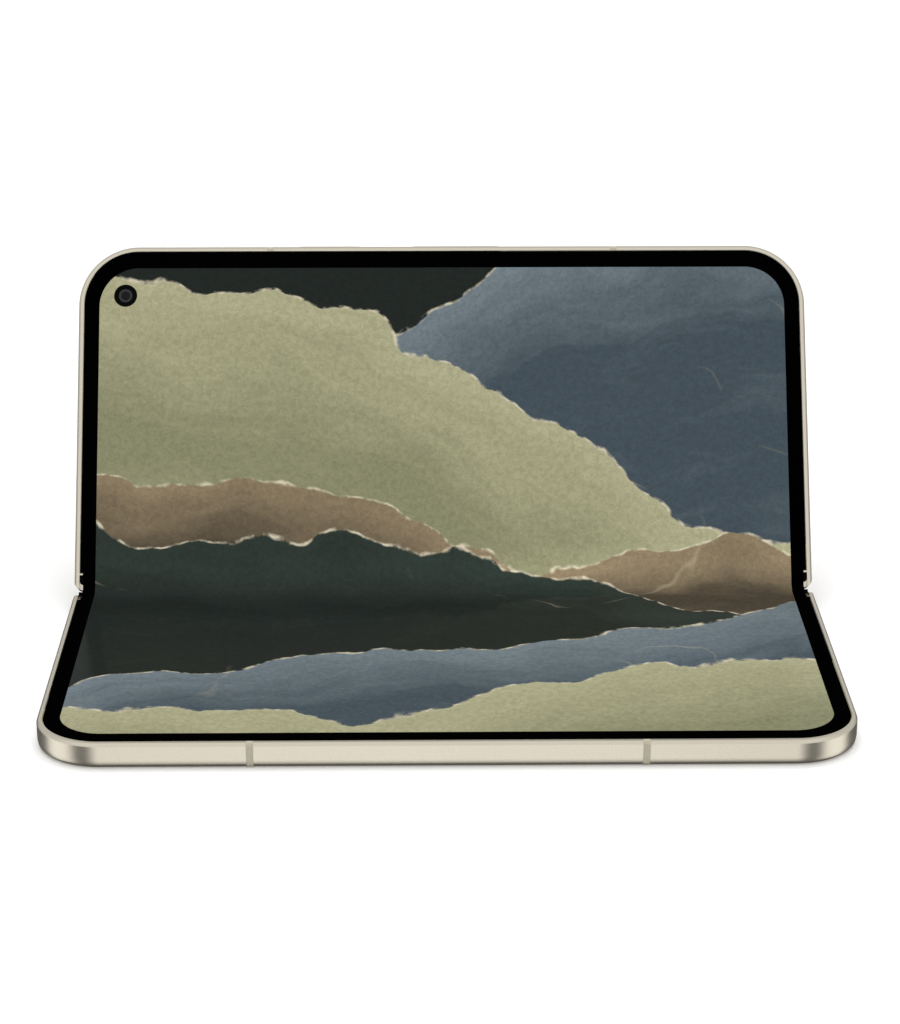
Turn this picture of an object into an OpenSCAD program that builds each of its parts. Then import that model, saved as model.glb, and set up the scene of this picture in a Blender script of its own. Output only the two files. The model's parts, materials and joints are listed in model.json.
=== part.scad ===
// Foldable phone standing as a small laptop: the cover half lies on the table and the main
// half leans back from it. Each half is drawn flat in its own leaf frame: x runs along the
// hinge, y is the distance from the hinge's centre plane, and z is the height above the
// outer face. The halves are then folded into place about the two hinge axes.

/* [Halves] */
// Length of the phone along the hinge
device_w = 155.2; // [150:0.1:165]
// Reach of each half from the hinge's centre plane
leaf_len = 75.1; // [74:0.1:82]
// Thickness of each half
leaf_t = 5.1; // [5.1:0.05:5.5]
// Radius of the four outer corners
corner_r = 12.8; // [9:0.1:14]
// Angle between the two screen halves as stored
opening = 120; // [100:1:160]
// Gap between the two rims when shut
closed_gap = 0.3; // [0.2:0.05:0.5]

/* [Rim] */
// Thickness of the side walls
side_wall = 1.75; // [1.6:0.05:2.2]
// Width of the bright lip around the screen
lip_w = 1.1; // [0.9:0.05:1.4]
// Height of the bevel at the screen side
top_bevel_h = 0.65; // [0.3:0.05:0.8]
// Depth of the bevel at the screen side
top_bevel_d = 0.3; // [0.2:0.05:0.6]
// Height of the bevel at the outer face
low_bevel_h = 1.3; // [0.8:0.05:1.4]
// Depth of the bevel at the outer face
low_bevel_d = 0.8; // [0.5:0.05:1.1]
// Distance of the rounded wall ends from the hinge's centre plane
wall_end = 0.95; // [0.65:0.05:1.2]
// Where the bright lip ends beside the hinge, from its centre plane
lip_end = 4; // [3.6:0.1:5]
// Width of the step in which the lip ends
lip_step = 0.35; // [0.2:0.05:0.6]
// Width of the plastic antenna bands
band_w = 1.3; // [0.8:0.1:2]
// Distance of the antenna bands from the middle
band_x = 36.8; // [34:0.1:44]

/* [Screen] */
// Depth of the screen surface below the lip
screen_recess = 0.2; // [0.15:0.05:0.3]
// Thickness of the flexible panel
panel_t = 0.6; // [0.4:0.05:0.7]
// Width of the black border from the phone's sides
border_w = 4.4; // [3.6:0.05:6]
// Width of the black border from the phone's far edges
border_far = 4.75; // [3.6:0.05:6]
// Thickness of the raised border strip
border_t = 0.1; // [0.05:0.01:0.15]
// Thickness of the plate that backs the panel
backplate_t = 0.4; // [0.3:0.05:0.45]
// Bend radius of the screen surface at rest
bend_r = 4; // [3:0.1:5]
// Reach of the bending stretch from the hinge's centre plane
bend_reach = 6; // [5.5:0.1:8]

/* [Outer faces] */
// Thickness of the outer glass
glass_t = 0.55; // [0.4:0.05:0.6]
// Distance of the glass edge from the outside of the rim
glass_inset = 1.6; // [1.2:0.05:1.7]
// Thickness of the frame's middle plate
midplate_t = 0.4; // [0.3:0.05:0.5]

/* [Hinge] */
// Depth of the hinge axes below the lip
axis_drop = 1.025; // [0.95:0.025:1.1]
// Thickness of the outer skin under the spine
back_skin = 0.775; // [0.7:0.025:0.9]
// Radial gap between the spine and the halves
spine_gap = 0.125; // [0.1:0.025:0.2]
// Wall thickness of the spine cover
spine_wall = 0.5; // [0.4:0.05:0.55]
// Distance of the hinge modules from the middle
module_x = 50; // [40:0.5:54]
// Inner radius of the curved pivot arms
pivot_arm_in = 1.6; // [1.5:0.05:1.7]
// Outer radius of the curved pivot arms
pivot_arm_out = 2.4; // [2.2:0.05:2.45]
// Thickness of the curved pivot arms
pivot_arm_t = 2.8; // [1.5:0.1:2.8]
// Gear module of the synchronising gears
gear_module = 0.15; // [0.13:0.01:0.16]
// Number of teeth of each gear
gear_teeth = 8; // [8:8:8]
// Radius of the gear shafts
shaft_r = 0.2; // [0.15:0.01:0.22]
// Running clearance on shafts and pins
run_gap = 0.03; // [0.02:0.01:0.05]
// Thickness of the wing plates that carry the bend
wing_t = 0.35; // [0.25:0.05:0.4]
// Tilt of the wing plates for each degree of fold at one axis
wing_ratio = 0.111; // [0.08:0.001:0.13]

/* [Keys] */
// Middle of the power key
power_x = -24.1; // [-30:0.1:-20]
// Length of the power key
power_len = 13.7; // [10:0.1:16]
// Middle of the volume key
volume_x = 3; // [-4:0.1:8]
// Length of the volume key
volume_len = 19.1; // [14:0.1:22]
// Height of both keys
key_h = 1.9; // [1.4:0.1:1.95]
// How far the keys stand out of the rim
key_proud = 0.4; // [0.3:0.05:0.6]
// Gap around the keys
key_gap = 0.08; // [0.06:0.01:0.15]
// Travel of the power key
key_travel = 0.25; // [0.15:0.05:0.3]

/* [Cameras] */
// Inner camera, distance from the left side
inner_cam_side = 9.9; // [9:0.1:14]
// Inner camera, distance from the far edge
inner_cam_far = 10.7; // [10.5:0.1:14]
// Radius of the inner camera's hole in the screen
inner_cam_r = 2.5; // [1.8:0.05:2.8]
// Length of the rear camera island along the hinge
island_w = 40; // [39:0.5:46]
// Width of the rear camera island
island_l = 38; // [37:0.5:42]
// Corner radius of the rear camera island
island_r = 9; // [6:0.5:12]
// Height of the rear camera island
island_h = 2.2; // [1.5:0.1:3]
// Distance of the island's middle from the left side
island_side = 25.6; // [24:0.1:27]
// Distance of the island's middle from the far edge
island_far = 33.1; // [32:0.1:34.5]
// Radius of the large lens windows
window_r = 6; // [5:0.1:6.5]
// Distance between the middles of the lens windows
lens_pitch = 17; // [16:0.5:19]
// Radius of the cover screen's camera hole
cover_cam_r = 2.1; // [1.6:0.1:2.6]

/* [Ports] */
// Width of the charging port's opening
usb_w = 8.34; // [8.34:0.01:8.6]
// Height of the charging port's opening
usb_h = 2.56; // [2.5:0.01:2.6]
// Sheet thickness of the charging port's shell
usb_shell_t = 0.3; // [0.2:0.05:0.3]
// Distance of the charging port from the far edge
usb_far = 37.6; // [34:0.1:44]
// Width of the card tray's head
tray_w = 14; // [13:0.5:16]
// Height of the card tray's head
tray_h = 1.2; // [1.1:0.05:1.3]
// Distance of the card tray from the hinge's centre plane
tray_s = 33; // [30:0.5:45]
// Radius of the card tray's eject hole
eject_r = 0.45; // [0.4:0.05:0.5]
// Radius of each loudspeaker hole
speaker_hole_r = 0.6; // [0.4:0.05:0.7]
// Distance between the loudspeaker holes
speaker_pitch = 2.2; // [1.8:0.1:2.6]

/* [Inside] */
// Gap between the inner parts and the far edge
far_margin = 6; // [5.5:0.1:8]
// Distance of the inner parts from the hinge's centre plane
near_margin = 12; // [11.6:0.1:14]
// Distance of the cover half's battery from the left side
cover_battery_left = 43.6; // [43:0.1:50]
// Distance of the cover half's battery from the right side
cover_battery_right = 31.6; // [26:0.1:40]
// Distance of the main battery from the left side
main_battery_left = 87.6; // [87:0.1:95]
// Distance of the main battery from the right side
main_battery_right = 21.6; // [19:0.1:30]
// Distance of the main board's left edge from the left side
board_left = 45.6; // [45.2:0.1:48]
// Width of the main board along the hinge
board_w = 38; // [30:0.5:40]
// Width of the cover half's board along the hinge
cover_board_w = 37; // [30:0.5:38]
// Outer radius of the charging coil
coil_r = 21; // [16:0.5:22]
// Width of the charging coil's ring
coil_w = 10; // [6:0.5:12]
// Width of each hinge cable
cable_w = 12; // [8:0.5:14]
// Distance between the middles of the hinge cables
cable_pitch = 32; // [28:0.5:36]
// Reach of the hinge cables from the hinge's centre plane
cable_reach = 11.5; // [10:0.1:11.8]

/* [Hidden] */
$fn = 48;
fit = 0.05;
deep = 20;
half_w = device_w / 2;
half_fold = (180 - opening) / 2;
axis_z = leaf_t - axis_drop;
axis_y = closed_gap / 2 + axis_drop;
bore_r = axis_z - back_skin;
spine_r = bore_r - spine_gap;
seam = 0.1;
origin_y = (leaf_len + seam) / 2;

screen_top = leaf_t - screen_recess;
panel_low = screen_top - panel_t;
plate_low = panel_low - backplate_t;
mid_low = plate_low - midplate_t;
screen_gap = 0.1;
inner_x = half_w - side_wall;
groove_low = mid_low;
glass_seat = glass_t + fit;
inner_cam_x = inner_cam_side - half_w;
inner_cam_s = leaf_len - inner_cam_far;
island_x = island_side - half_w;
island_s = leaf_len - island_far;
ledge_t = 0.4;
ledge_w = 1;
ledge_top = glass_seat + ledge_t;
bay_low = ledge_top + fit;
bay_high = mid_low - 2 * fit;

trough_top = 3;
trough_end = 5.8;
glass_start = trough_end + 0.5;
shelf_end = 9.3;
pocket_start = 2.5;
wing_start = 2.2;
wing_end = shelf_end - 0.3;
wing_x = inner_x - 1.6;

spine_top = axis_z - 0.275;
spine_half = inner_x - 0.45;
cap_t = 0.8;
notch_tab_reach = 0.9;
notch_tab_drop = 0.5;
block_half = 13;
block_top = spine_top - 0.2;
block_gap = 0.02;
groove_gap = 0.05;
arm_groove = [8, 8 + pivot_arm_t + 0.2];
tab_low = axis_z - 1.025;
tab_high = axis_z - 0.425;
tab_end = 8.5;
screw_s = 7.4;
screw_r = 0.4;
screw_head_r = 0.75;
screw_head_t = 0.2;

pitch_r = gear_module * gear_teeth / 2;
gear_z = axis_z - 1.525;
idler_y = pitch_r;
drive_y = 3 * pitch_r;
gear_x = [-6.9, -4.9];
chamber_x = [-7, -4.5];
spring_x = [-3.5, 4];
link_dy = drive_y - axis_y;
link_dz = axis_z - gear_z;
link_r = sqrt(link_dy * link_dy + link_dz * link_dz);
link_len = 5.8;
link_low = 0.35;
link_high = 0.15;
link_pin_r = 0.25;
link_boss_r = 0.38;
bracket_x = [-4.8, -3.8];
bracket_s = [4.6, 8.3];
spring_r = 0.45;
spring_wire = 0.12;
spring_turns = 8;

key_z = mid_low - fit - key_h / 2;
key_flange = 0.6;
key_flange_t = 0.4;
switch_gap = 0.02;
inner_far = leaf_len - side_wall;
rock_gap = 0.25;

window_t = 0.6;
cover_cam = [8.6 - half_w, leaf_len / 2 + 2.4];
cameras = [for (c = [[-1, 1], [-1, -1], [1, 1]]) [island_x, island_s] + lens_pitch / 2 * c];
flash_at = [island_x + lens_pitch / 2, island_s - 6.5];
flash_r = 2.2;
cover_cam_base = 7;
inner_cam_base = 6.6;
wide_base = 12;
tele_base = 12.5;
ultrawide_base = 10.5;
cable_gap = 0.15;
cable_t = 0.15;
earpiece_w = 7;
earpiece_l = 12;
board_t = 0.5;
chip_t = 1.05;
shield_h = 1.9;
port_r = 0.5;
sound_z = 2.4;
speaker_s = leaf_len - 24.1;
speaker_w = 14.8;
motor_w = 11;
motor_l = 10;
usb_s = leaf_len - usb_far;
usb_z = plate_low - fit - usb_h / 2 - usb_shell_t;
tray_z = 2.5;
tray_plate = 15;
sim_w = 10.5;
card_l = 12.4;
card_w = 8.9;
reader_wall = 0.25;
tongue_l = 5.6;
tongue_w = 6.7;
tongue_t = 0.7;
shell_l = 7;
shell_back = 0.3;
dome_r = 0.7;
rocker_press = 7;
battery_low = bay_low + 0.15;

aluminium = [0.80, 0.77, 0.69];
band_plastic = [0.70, 0.67, 0.60];
steel = [0.62, 0.63, 0.65];
dark = [0.08, 0.08, 0.09];
board_green = [0.10, 0.24, 0.19];
battery_grey = [0.25, 0.26, 0.28];
copper = [0.72, 0.45, 0.25];
gold = [0.80, 0.65, 0.35];
lens_blue = [0.05, 0.07, 0.12];

// The cover half lies flat, drawn mirrored so that its leaf frame reaches towards the front.
module cover_side() translate([0, origin_y, 0]) mirror([0, 1, 0]) children();

// The spine turns by half the fold about the cover half's axis.
module spine_side() translate([0, origin_y - axis_y, axis_z]) rotate([half_fold, 0, 0])
  translate([0, axis_y, -axis_z]) children();

// The main half turns once more about the spine's other axis.
module main_side() spine_side() translate([0, axis_y, axis_z]) rotate([half_fold, 0, 0])
  translate([0, -axis_y, -axis_z]) children();

// The two hinge modules are mirror images on each side of the middle.
module at_modules() for (side = [0, 1]) mirror([side, 0, 0]) translate([module_x, 0, 0]) children();

// Extrudes a shape drawn in y and z along x, from one x to the other.
module along_x(from, to) translate([from, 0, 0]) rotate([90, 0, 90]) linear_extrude(to - from) children();

// Extrudes a shape drawn in x and -z along y, from one distance to the other.
module along_y(from, to) translate([0, from, 0]) rotate([-90, 0, 0]) linear_extrude(to - from) children();

module block(low, high) translate(low) cube(high - low);

// Flat outline of a leaf, set in from the outer edge, from a given distance to its far end.
module leaf_outline(inset, start) {
  w = half_w - inset;
  r = corner_r - inset;
  far = leaf_len - inset;
  translate([-w, start]) square([2 * w, far - r - start]);
  translate([r - w, start]) square([2 * (w - r), far - start]);
  for (side = [-1, 1]) translate([side * (w - r), far - r]) circle(r);
}

// The lit area of one half: the sides and the far edge have borders of their own.
module lit_outline(start) {
  gap = border_far - border_w;
  difference() {
    translate([0, -gap]) leaf_outline(border_w, start + gap);
    translate([-half_w, start - 2]) square([2 * half_w, 2]);
  }
}

module leaf_plate(inset, start, low, high) translate([0, 0, low])
  linear_extrude(high - low) leaf_outline(inset, start);

module round_rect(w, l, r) {
  square([w - 2 * r, l], center = true);
  square([w, l - 2 * r], center = true);
  for (x = [-1, 1], y = [-1, 1]) translate([x * (w / 2 - r), y * (l / 2 - r)]) circle(r);
}

module ring_sector(r_in, r_out, from, to) {
  mid = (from + to) / 2;
  far = 3 * r_out;
  intersection() {
    difference() {
      circle(r_out);
      circle(r_in);
    }
    polygon([[0, 0], far * [cos(from), sin(from)], far * [cos(mid), sin(mid)], far * [cos(to), sin(to)]]);
  }
}

// Section of the rim: first the distance inward from the outside, then the height.
function rim_section() = [
  [low_bevel_d, 0], [low_bevel_d / 4, low_bevel_h / 3], [0, low_bevel_h],
  [0, leaf_t - top_bevel_h], [top_bevel_d, leaf_t], [lip_w, leaf_t], [lip_w, panel_low],
  [side_wall, panel_low], [side_wall, ledge_top], [side_wall + ledge_w, ledge_top],
  [side_wall + ledge_w, glass_seat], [glass_inset, glass_seat], [glass_inset, 0]
];

// The rim follows three sides of the leaf, with true round corners.
module rim() {
  for (side = [0, 1]) mirror([side, 0, 0]) {
    translate([-half_w, leaf_len - corner_r, 0]) rotate([90, 0, 0])
      linear_extrude(leaf_len - corner_r - seam) polygon(rim_section());
    translate([half_w - corner_r, leaf_len - corner_r, 0])
      rotate_extrude(angle = 90) polygon([for (p = rim_section()) [corner_r - p[0], p[1]]]);
  }
  translate([0, leaf_len, 0]) mirror([0, 1, 0]) along_x(corner_r - half_w, half_w - corner_r)
    polygon(rim_section());
}

// Space that the spine sweeps inside each leaf.
module spine_room() {
  translate([axis_y, axis_z]) circle(bore_r);
  translate([-1, back_skin]) square([1 + axis_y, deep]);
}

// Seen from the side, the wall ends are rounded about the axis so that the halves pass each other.
module wall_end_cut() {
  low_r = low_bevel_h;
  translate([-1, -1]) square([1 + wall_end, deep]);
  difference() {
    translate([-1, axis_z]) square([1 + axis_y, deep]);
    translate([axis_y, axis_z]) circle(axis_y - seam);
  }
  difference() {
    translate([wall_end - 1, -1]) square([1 + low_r, 1 + low_r]);
    translate([wall_end + low_r, low_r]) circle(low_r);
  }
}

// Seen from above, the wall's outer corner is round, and a groove runs between it and the screen.
module wall_corner_cut() {
  turn = wall_end + side_wall;
  translate([0, 0, -1]) linear_extrude(deep) difference() {
    translate([inner_x, -1]) square([side_wall + 1, 1 + turn]);
    translate([inner_x, turn]) circle(side_wall);
  }
  translate([0, 0, groove_low]) linear_extrude(deep) {
    translate([inner_x - 1, turn]) square([1 + side_wall - lip_w, lip_end - turn]);
    intersection() {
      translate([inner_x, turn]) circle(side_wall - lip_w);
      translate([inner_x - 1, 0]) square([deep, turn + fit]);
    }
  }
}

// Frame shared by both halves: rim, middle plate, hinge trough and module shelves.
module leaf_frame() {
  post = arm_groove + [0.1, -0.1];
  difference() {
    union() {
      rim();
      leaf_plate(side_wall - fit, shelf_end, mid_low, plate_low);
      along_x(-inner_x - fit, inner_x + fit) difference() {
        translate([seam, 0]) square([trough_end - seam, trough_top]);
        spine_room();
      }
      block([-inner_x, trough_end - fit, glass_seat], [inner_x, glass_start + ledge_w, ledge_top]);
      block([-inner_x, trough_end - fit, 0], [inner_x, glass_start, glass_seat + fit]);
      at_modules() block([-block_half, trough_end - fit, glass_seat], [block_half, shelf_end, ledge_top]);
      for (side = [0, 1]) mirror([side, 0, 0])
        block([inner_x, lip_end - fit, panel_low - fit], [half_w - lip_w + fit, lip_end + lip_step, leaf_t]);
    }
    for (side = [0, 1]) mirror([side, 0, 0]) {
      along_x(inner_x, half_w + 1) wall_end_cut();
      along_x(inner_x - 1, inner_x) spine_room();
      wall_corner_cut();
    }
    at_modules() block([-block_half - 0.2, pocket_start, ledge_top], [block_half + 0.2, shelf_end, deep]);
  }
}

// Threaded posts under the tabs of the pivot arms.
module arm_posts(from, to) difference() {
  block([from, screw_s - 1.1, ledge_top - fit], [to, shelf_end - 0.4, tab_low]);
  translate([(from + to) / 2, screw_s, ledge_top + 0.3]) cylinder(r = screw_r + run_gap, h = deep);
}

module rim_slot(x, w) translate([x - w / 2, leaf_len - corner_r, -1]) cube([w, corner_r + 1, leaf_t + 2]);

module rim_bands(places) intersection() {
  rim();
  union() for (x = places) rim_slot(x, band_w);
}

module rim_band_cuts(places) for (x = places)
  translate([x - band_w / 2, inner_far - ledge_w - fit, -1])
    cube([band_w, side_wall + ledge_w + 1, leaf_t + 2]);

module pill(w, h, r) {
  square([w - 2 * r, h], center = true);
  for (side = [-1, 1]) translate([side * (w / 2 - r), 0]) circle(r);
}

module tray_outline(grow) translate([tray_s, tray_z])
  pill(tray_w + 2 * grow, tray_h + 2 * grow, tray_h / 2 + grow);

module cover_frame() color(aluminium) cover_side() {
  difference() {
    leaf_frame();
    rim_band_cuts([-band_x, band_x]);
    along_x(inner_x - 2, half_w + 1) tray_outline(fit);
  }
  at_modules() arm_posts(-arm_groove[1] + 0.1, -arm_groove[0] - 0.1);
}

module cover_antenna_bands() color(band_plastic) cover_side() rim_bands([-band_x, band_x]);

module cover_glass() color(dark) cover_side()
  leaf_plate(glass_inset + fit, glass_start + fit, 0, glass_t);

module cover_screen() color([0.03, 0.03, 0.04]) cover_side() difference() {
  leaf_plate(side_wall + ledge_w + 1, shelf_end + screen_gap, glass_t, ledge_top);
  translate([cover_cam[0], cover_cam[1], 0]) cylinder(r = cover_cam_r + 0.2, h = deep);
}

module camera_module(at, base, low, high, barrel_r, tip) translate([at[0], at[1], 0]) {
  translate([-base / 2, -base / 2, low]) cube([base, base, high - low]);
  translate([0, 0, min(low, tip)]) cylinder(r = barrel_r, h = max(high, tip) - min(low, tip));
}

module cover_camera() color(lens_blue) cover_side()
  camera_module(cover_cam, cover_cam_base, battery_low, bay_high, cover_cam_r, glass_t + fit);

module cover_battery() color(battery_grey) cover_side()
  block([cover_battery_left - half_w, near_margin, battery_low],
    [half_w - cover_battery_right, leaf_len - far_margin, bay_high]);

module cover_board() color(board_green) cover_side() difference() {
  right = cover_battery_left - half_w - 2;
  left = right - cover_board_w;
  cam_room = cover_cam_base / 2 + 0.5;
  union() {
    block([left, near_margin, battery_low], [right, leaf_len - corner_r - 2, battery_low + board_t]);
    for (chip = [[24, 4, 9], [12, 8, 7], [14, 22, 10], [16, 38, 8]])
      translate([right - chip[0], near_margin + chip[1], battery_low + board_t / 2])
        cube([chip[2], chip[2], chip_t]);
  }
  translate([cover_cam[0] - cam_room, cover_cam[1] - cam_room, 0]) cube([2 * cam_room, 2 * cam_room, deep]);
  translate([left - 1, near_margin + 6, 0]) cube([earpiece_w + 3, earpiece_l + 2, deep]);
}

module earpiece() color(dark) cover_side() {
  left = 3.6 - half_w;
  difference() {
    block([left, near_margin + 7, battery_low], [left + earpiece_w, near_margin + 7 + earpiece_l, bay_high]);
    for (i = [0:2]) along_x(left - 1, left + 2) translate([near_margin + 9 + 4 * i, sound_z]) circle(port_r);
  }
}

// Cage around the tray: two side walls between a floor and a roof of thin sheet.
module sim_reader() color(steel) cover_side() {
  low = tray_z - tray_h / 2 - 0.35;
  high = tray_z + tray_h / 2 + 0.1;
  start = [inner_x - tray_plate - 1.5, tray_s - sim_w / 2 - 2];
  end = [inner_x - 1, tray_s + sim_w / 2 - 0.7 + reader_wall];
  for (s = [start[1], end[1] - reader_wall])
    block([start[0], s, low], [end[0], s + reader_wall, high + reader_wall]);
  for (z = [low, high]) block([start[0], start[1], z], [end[0], end[1], z + reader_wall]);
}

module sim_tray() color(aluminium) cover_side() difference() {
  union() {
    along_x(inner_x, half_w) tray_outline(0);
    block([inner_x - tray_plate, tray_s - sim_w / 2 - 1.5, tray_z - 0.3],
      [inner_x + fit, tray_s + sim_w / 2 - 1, tray_z + 0.3]);
  }
  translate([inner_x - tray_plate + 1, tray_s - sim_w / 2 - 0.7, tray_z - 0.1]) cube([card_l, card_w, 1]);
  translate([inner_x - 1, tray_s + tray_w / 2 - 1.2, tray_z]) rotate([0, 90, 0])
    cylinder(r = eject_r, h = side_wall + 2);
}

module backplate() leaf_plate(side_wall + 0.3, shelf_end + 0.1, plate_low, panel_low);

module cover_backplate() color(steel) cover_side() backplate();

module cover_display() color([0.42, 0.42, 0.34]) cover_side()
  leaf_plate(lip_w + screen_gap, bend_reach, panel_low, screen_top);

module border_ring() difference() {
  leaf_plate(lip_w + screen_gap, bend_reach, screen_top, screen_top + border_t);
  translate([0, 0, screen_top - 1]) linear_extrude(2) lit_outline(bend_reach - 1);
}

module cover_border() color(dark) cover_side() border_ring();

// Curved arm centred on its leaf's axis, with a tab that is screwed to the leaf.
module pivot_arm(from, to) difference() {
  union() {
    translate([0, axis_y, axis_z]) along_x(from, to) ring_sector(pivot_arm_in, pivot_arm_out, -140, -15);
    block([from, axis_y + (pivot_arm_in + pivot_arm_out) / 2 - 0.175, tab_low], [to, tab_end, tab_high]);
  }
  translate([(from + to) / 2, screw_s, 0]) cylinder(r = screw_r + run_gap, h = deep);
}

module cover_pivot_arms() color(steel) cover_side() at_modules()
  pivot_arm(-arm_groove[1] + 0.1, -arm_groove[0] - 0.1);

module main_pivot_arms() color(steel) main_side() at_modules()
  pivot_arm(arm_groove[0] + 0.1, arm_groove[1] - 0.1);

module tab_screws(x) at_modules() translate([x, screw_s, 0]) {
  translate([0, 0, ledge_top + 0.5]) cylinder(r = screw_r, h = tab_high - ledge_top - 0.5);
  translate([0, 0, tab_high]) cylinder(r = screw_head_r, h = screw_head_t);
}

module cover_hinge_screws() color(steel) cover_side() tab_screws(-(arm_groove[0] + arm_groove[1]) / 2);

module main_hinge_screws() color(steel) main_side() tab_screws((arm_groove[0] + arm_groove[1]) / 2);

// Bracket whose curved slot guides the pin of a synchronising link.
module link_bracket() difference() {
  block([bracket_x[0], bracket_s[0], ledge_top], [bracket_x[1], bracket_s[1], plate_low - fit]);
  translate([0, axis_y + link_len, axis_z]) along_x(bracket_x[0] - 1, bracket_x[1] + 1) {
    slot = link_pin_r + run_gap;
    start = -atan2(link_dz, link_dy);
    ring_sector(link_r - slot, link_r + slot, start - 90, start);
    for (angle = [start, start - 90]) rotate(angle) translate([link_r, 0]) circle(slot);
  }
}

module cover_link_brackets() color(steel) cover_side() at_modules() link_bracket();

module main_link_brackets() color(steel) main_side() at_modules() link_bracket();

// Wing plates carry the bend and drop as the phone folds.
module wing_shape() difference() {
  block([-wing_x, wing_start, plate_low], [wing_x, wing_end, plate_low + wing_t]);
  at_modules() block([-block_half - 0.4, wing_start - 1, 0], [block_half + 0.4, wing_end - 0.6, deep]);
}

module wing() translate([0, wing_end, plate_low + wing_t / 2]) rotate([half_fold * wing_ratio, 0, 0])
  translate([0, -wing_end, -plate_low - wing_t / 2]) wing_shape();

module cover_wing() color(steel) cover_side() wing();

module main_wing() color(steel) main_side() wing();

// Lower half of a stadium: two circles about the hinge axes and the flat between them.
module spine_section(inset, top) intersection() {
  union() {
    for (side = [-1, 1]) translate([side * axis_y, axis_z]) circle(spine_r - inset);
    translate([-axis_y, axis_z - spine_r + inset]) square([2 * axis_y, spine_r - inset]);
  }
  translate([-deep / 2, 0]) square([deep, top]);
}

// Notches that let the pivot arms and links swing out of the spine on one side.
module spine_notches(side, arm_x) {
  at_modules() {
    block([arm_x[0] - 0.1, side < 0 ? -deep : 2.6, tab_low - 0.2],
      [arm_x[1] + 0.1, side < 0 ? -2.6 : deep, deep]);
    block([chamber_x[0] - 0.1, side < 0 ? -deep : 2.4, gear_z - link_low - 0.15],
      [chamber_x[1] + 0.9, side < 0 ? -2.4 : deep, deep]);
  }
}

module both_notches() {
  spine_notches(-1, [-arm_groove[1], -arm_groove[0]]);
  spine_notches(1, arm_groove);
}

module screw_places() at_modules() for (x = [-12, 6.3]) translate([x, 0, 0]) children();

module spine_cover() color(aluminium) spine_side() difference() {
  along_x(cap_t - spine_half, spine_half - cap_t) difference() {
    spine_section(0, spine_top);
    spine_section(spine_wall, deep);
  }
  both_notches();
  screw_places() translate([0, 0, axis_z - spine_r + 0.15]) cylinder(r = 0.36, h = 2);
}

// Each end cap has a tab that fills the notch between the two wall ends.
module spine_end_caps() color(dark) spine_side() for (side = [0, 1]) mirror([side, 0, 0]) {
  along_x(spine_half - cap_t, spine_half) spine_section(0, spine_top);
  along_x(spine_half - fit, inner_x + notch_tab_reach) intersection() {
    spine_section(0, axis_z - notch_tab_drop);
    translate([0.2 - wall_end, 0]) square([2 * (wall_end - 0.2), deep]);
  }
}

// Blocks that hold the arc grooves, gears, shafts and springs.
module hinge_blocks() color(gold) spine_side() difference() {
  at_modules() along_x(-block_half, block_half) spine_section(spine_wall + block_gap, block_top);
  at_modules() {
    for (side = [-1, 1]) translate([0, side * axis_y, axis_z])
      along_x(side < 0 ? -arm_groove[1] : arm_groove[0], side < 0 ? -arm_groove[0] : arm_groove[1])
        difference() {
          circle(pivot_arm_out + groove_gap);
          circle(pivot_arm_in - groove_gap);
        }
    block([chamber_x[0], -deep, axis_z - spine_r + spine_wall + 0.2], [chamber_x[1], deep, deep]);
    block([spring_x[0], -2.5, axis_z - spine_r + spine_wall + 0.3], [spring_x[1], 2.5, deep]);
    for (y = [-drive_y, drive_y]) along_x(chamber_x[0] - 0.6, spring_x[1] + 0.6)
      translate([y, gear_z]) circle(shaft_r);
    for (y = [-idler_y, idler_y]) along_x(chamber_x[0] - 0.6, chamber_x[1] + 0.6)
      translate([y, gear_z]) circle(shaft_r);
  }
  both_notches();
  screw_places() {
    cylinder(r = 0.36, h = deep);
    translate([0, 0, block_top - 0.3]) cylinder(r = 0.65, h = 2);
  }
}

module shafts(y, to) at_modules() for (side = [-1, 1]) along_x(chamber_x[0] - 0.6, to)
  translate([side * y, gear_z]) circle(shaft_r);

module drive_shafts() color(steel) spine_side() shafts(drive_y, spring_x[1] + 0.6);

module idler_shafts() color(steel) spine_side() shafts(idler_y, chamber_x[1] + 0.6);

module spine_screws() color(steel) spine_side() screw_places() {
  translate([0, 0, axis_z - spine_r + 0.2]) cylinder(r = 0.35, h = block_top - axis_z + spine_r - 0.25);
  translate([0, 0, block_top - 0.3]) cylinder(r = 0.6, h = 0.25);
}

// Coil swept along x: rings of points around a helix, joined into one closed tube.
module coil(length, turns, r, wire_r) {
  sides = 5;
  steps = turns * 10;
  rings = [for (i = [0:steps]) let (t = 360 * turns * i / steps) [
    for (k = [0:sides - 1]) let (a = 360 * k / sides, d = r + wire_r * cos(a))
      [length * i / steps + wire_r * sin(a), d * cos(t), d * sin(t)]
  ]];
  points = [for (ring = rings, p = ring) p];
  walls = [for (i = [0:steps - 1], k = [0:sides - 1])
    let (j = (k + 1) % sides, here = i * sides, next = here + sides)
    each [[here + k, next + k, next + j], [here + k, next + j, here + j]]];
  start = [for (k = [0:sides - 1]) k];
  end = [for (k = [0:sides - 1]) (steps + 1) * sides - 1 - k];
  polyhedron(points, concat([start], walls, [end]), convexity = 8);
}

module torque_springs() color(steel) spine_side() at_modules() for (side = [-1, 1])
  translate([spring_x[0] + 0.3, side * drive_y, gear_z])
    coil(spring_x[1] - spring_x[0] - 0.6, spring_turns, spring_r, spring_wire);

// Straight-sided gear teeth, narrower than their gaps so that they turn freely.
function gear_outline(phase) = [for (i = [0:gear_teeth - 1]) let (a = phase + 360 * i / gear_teeth)
  each [
    for (p = [[-15, -1.2], [-7.5, 0.2], [-3.5, 0.8], [3.5, 0.8], [7.5, 0.2], [15, -1.2]])
      (pitch_r + p[1] * gear_module) * [cos(a + p[0] * 8 / gear_teeth), sin(a + p[0] * 8 / gear_teeth)]
  ]];

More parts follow.
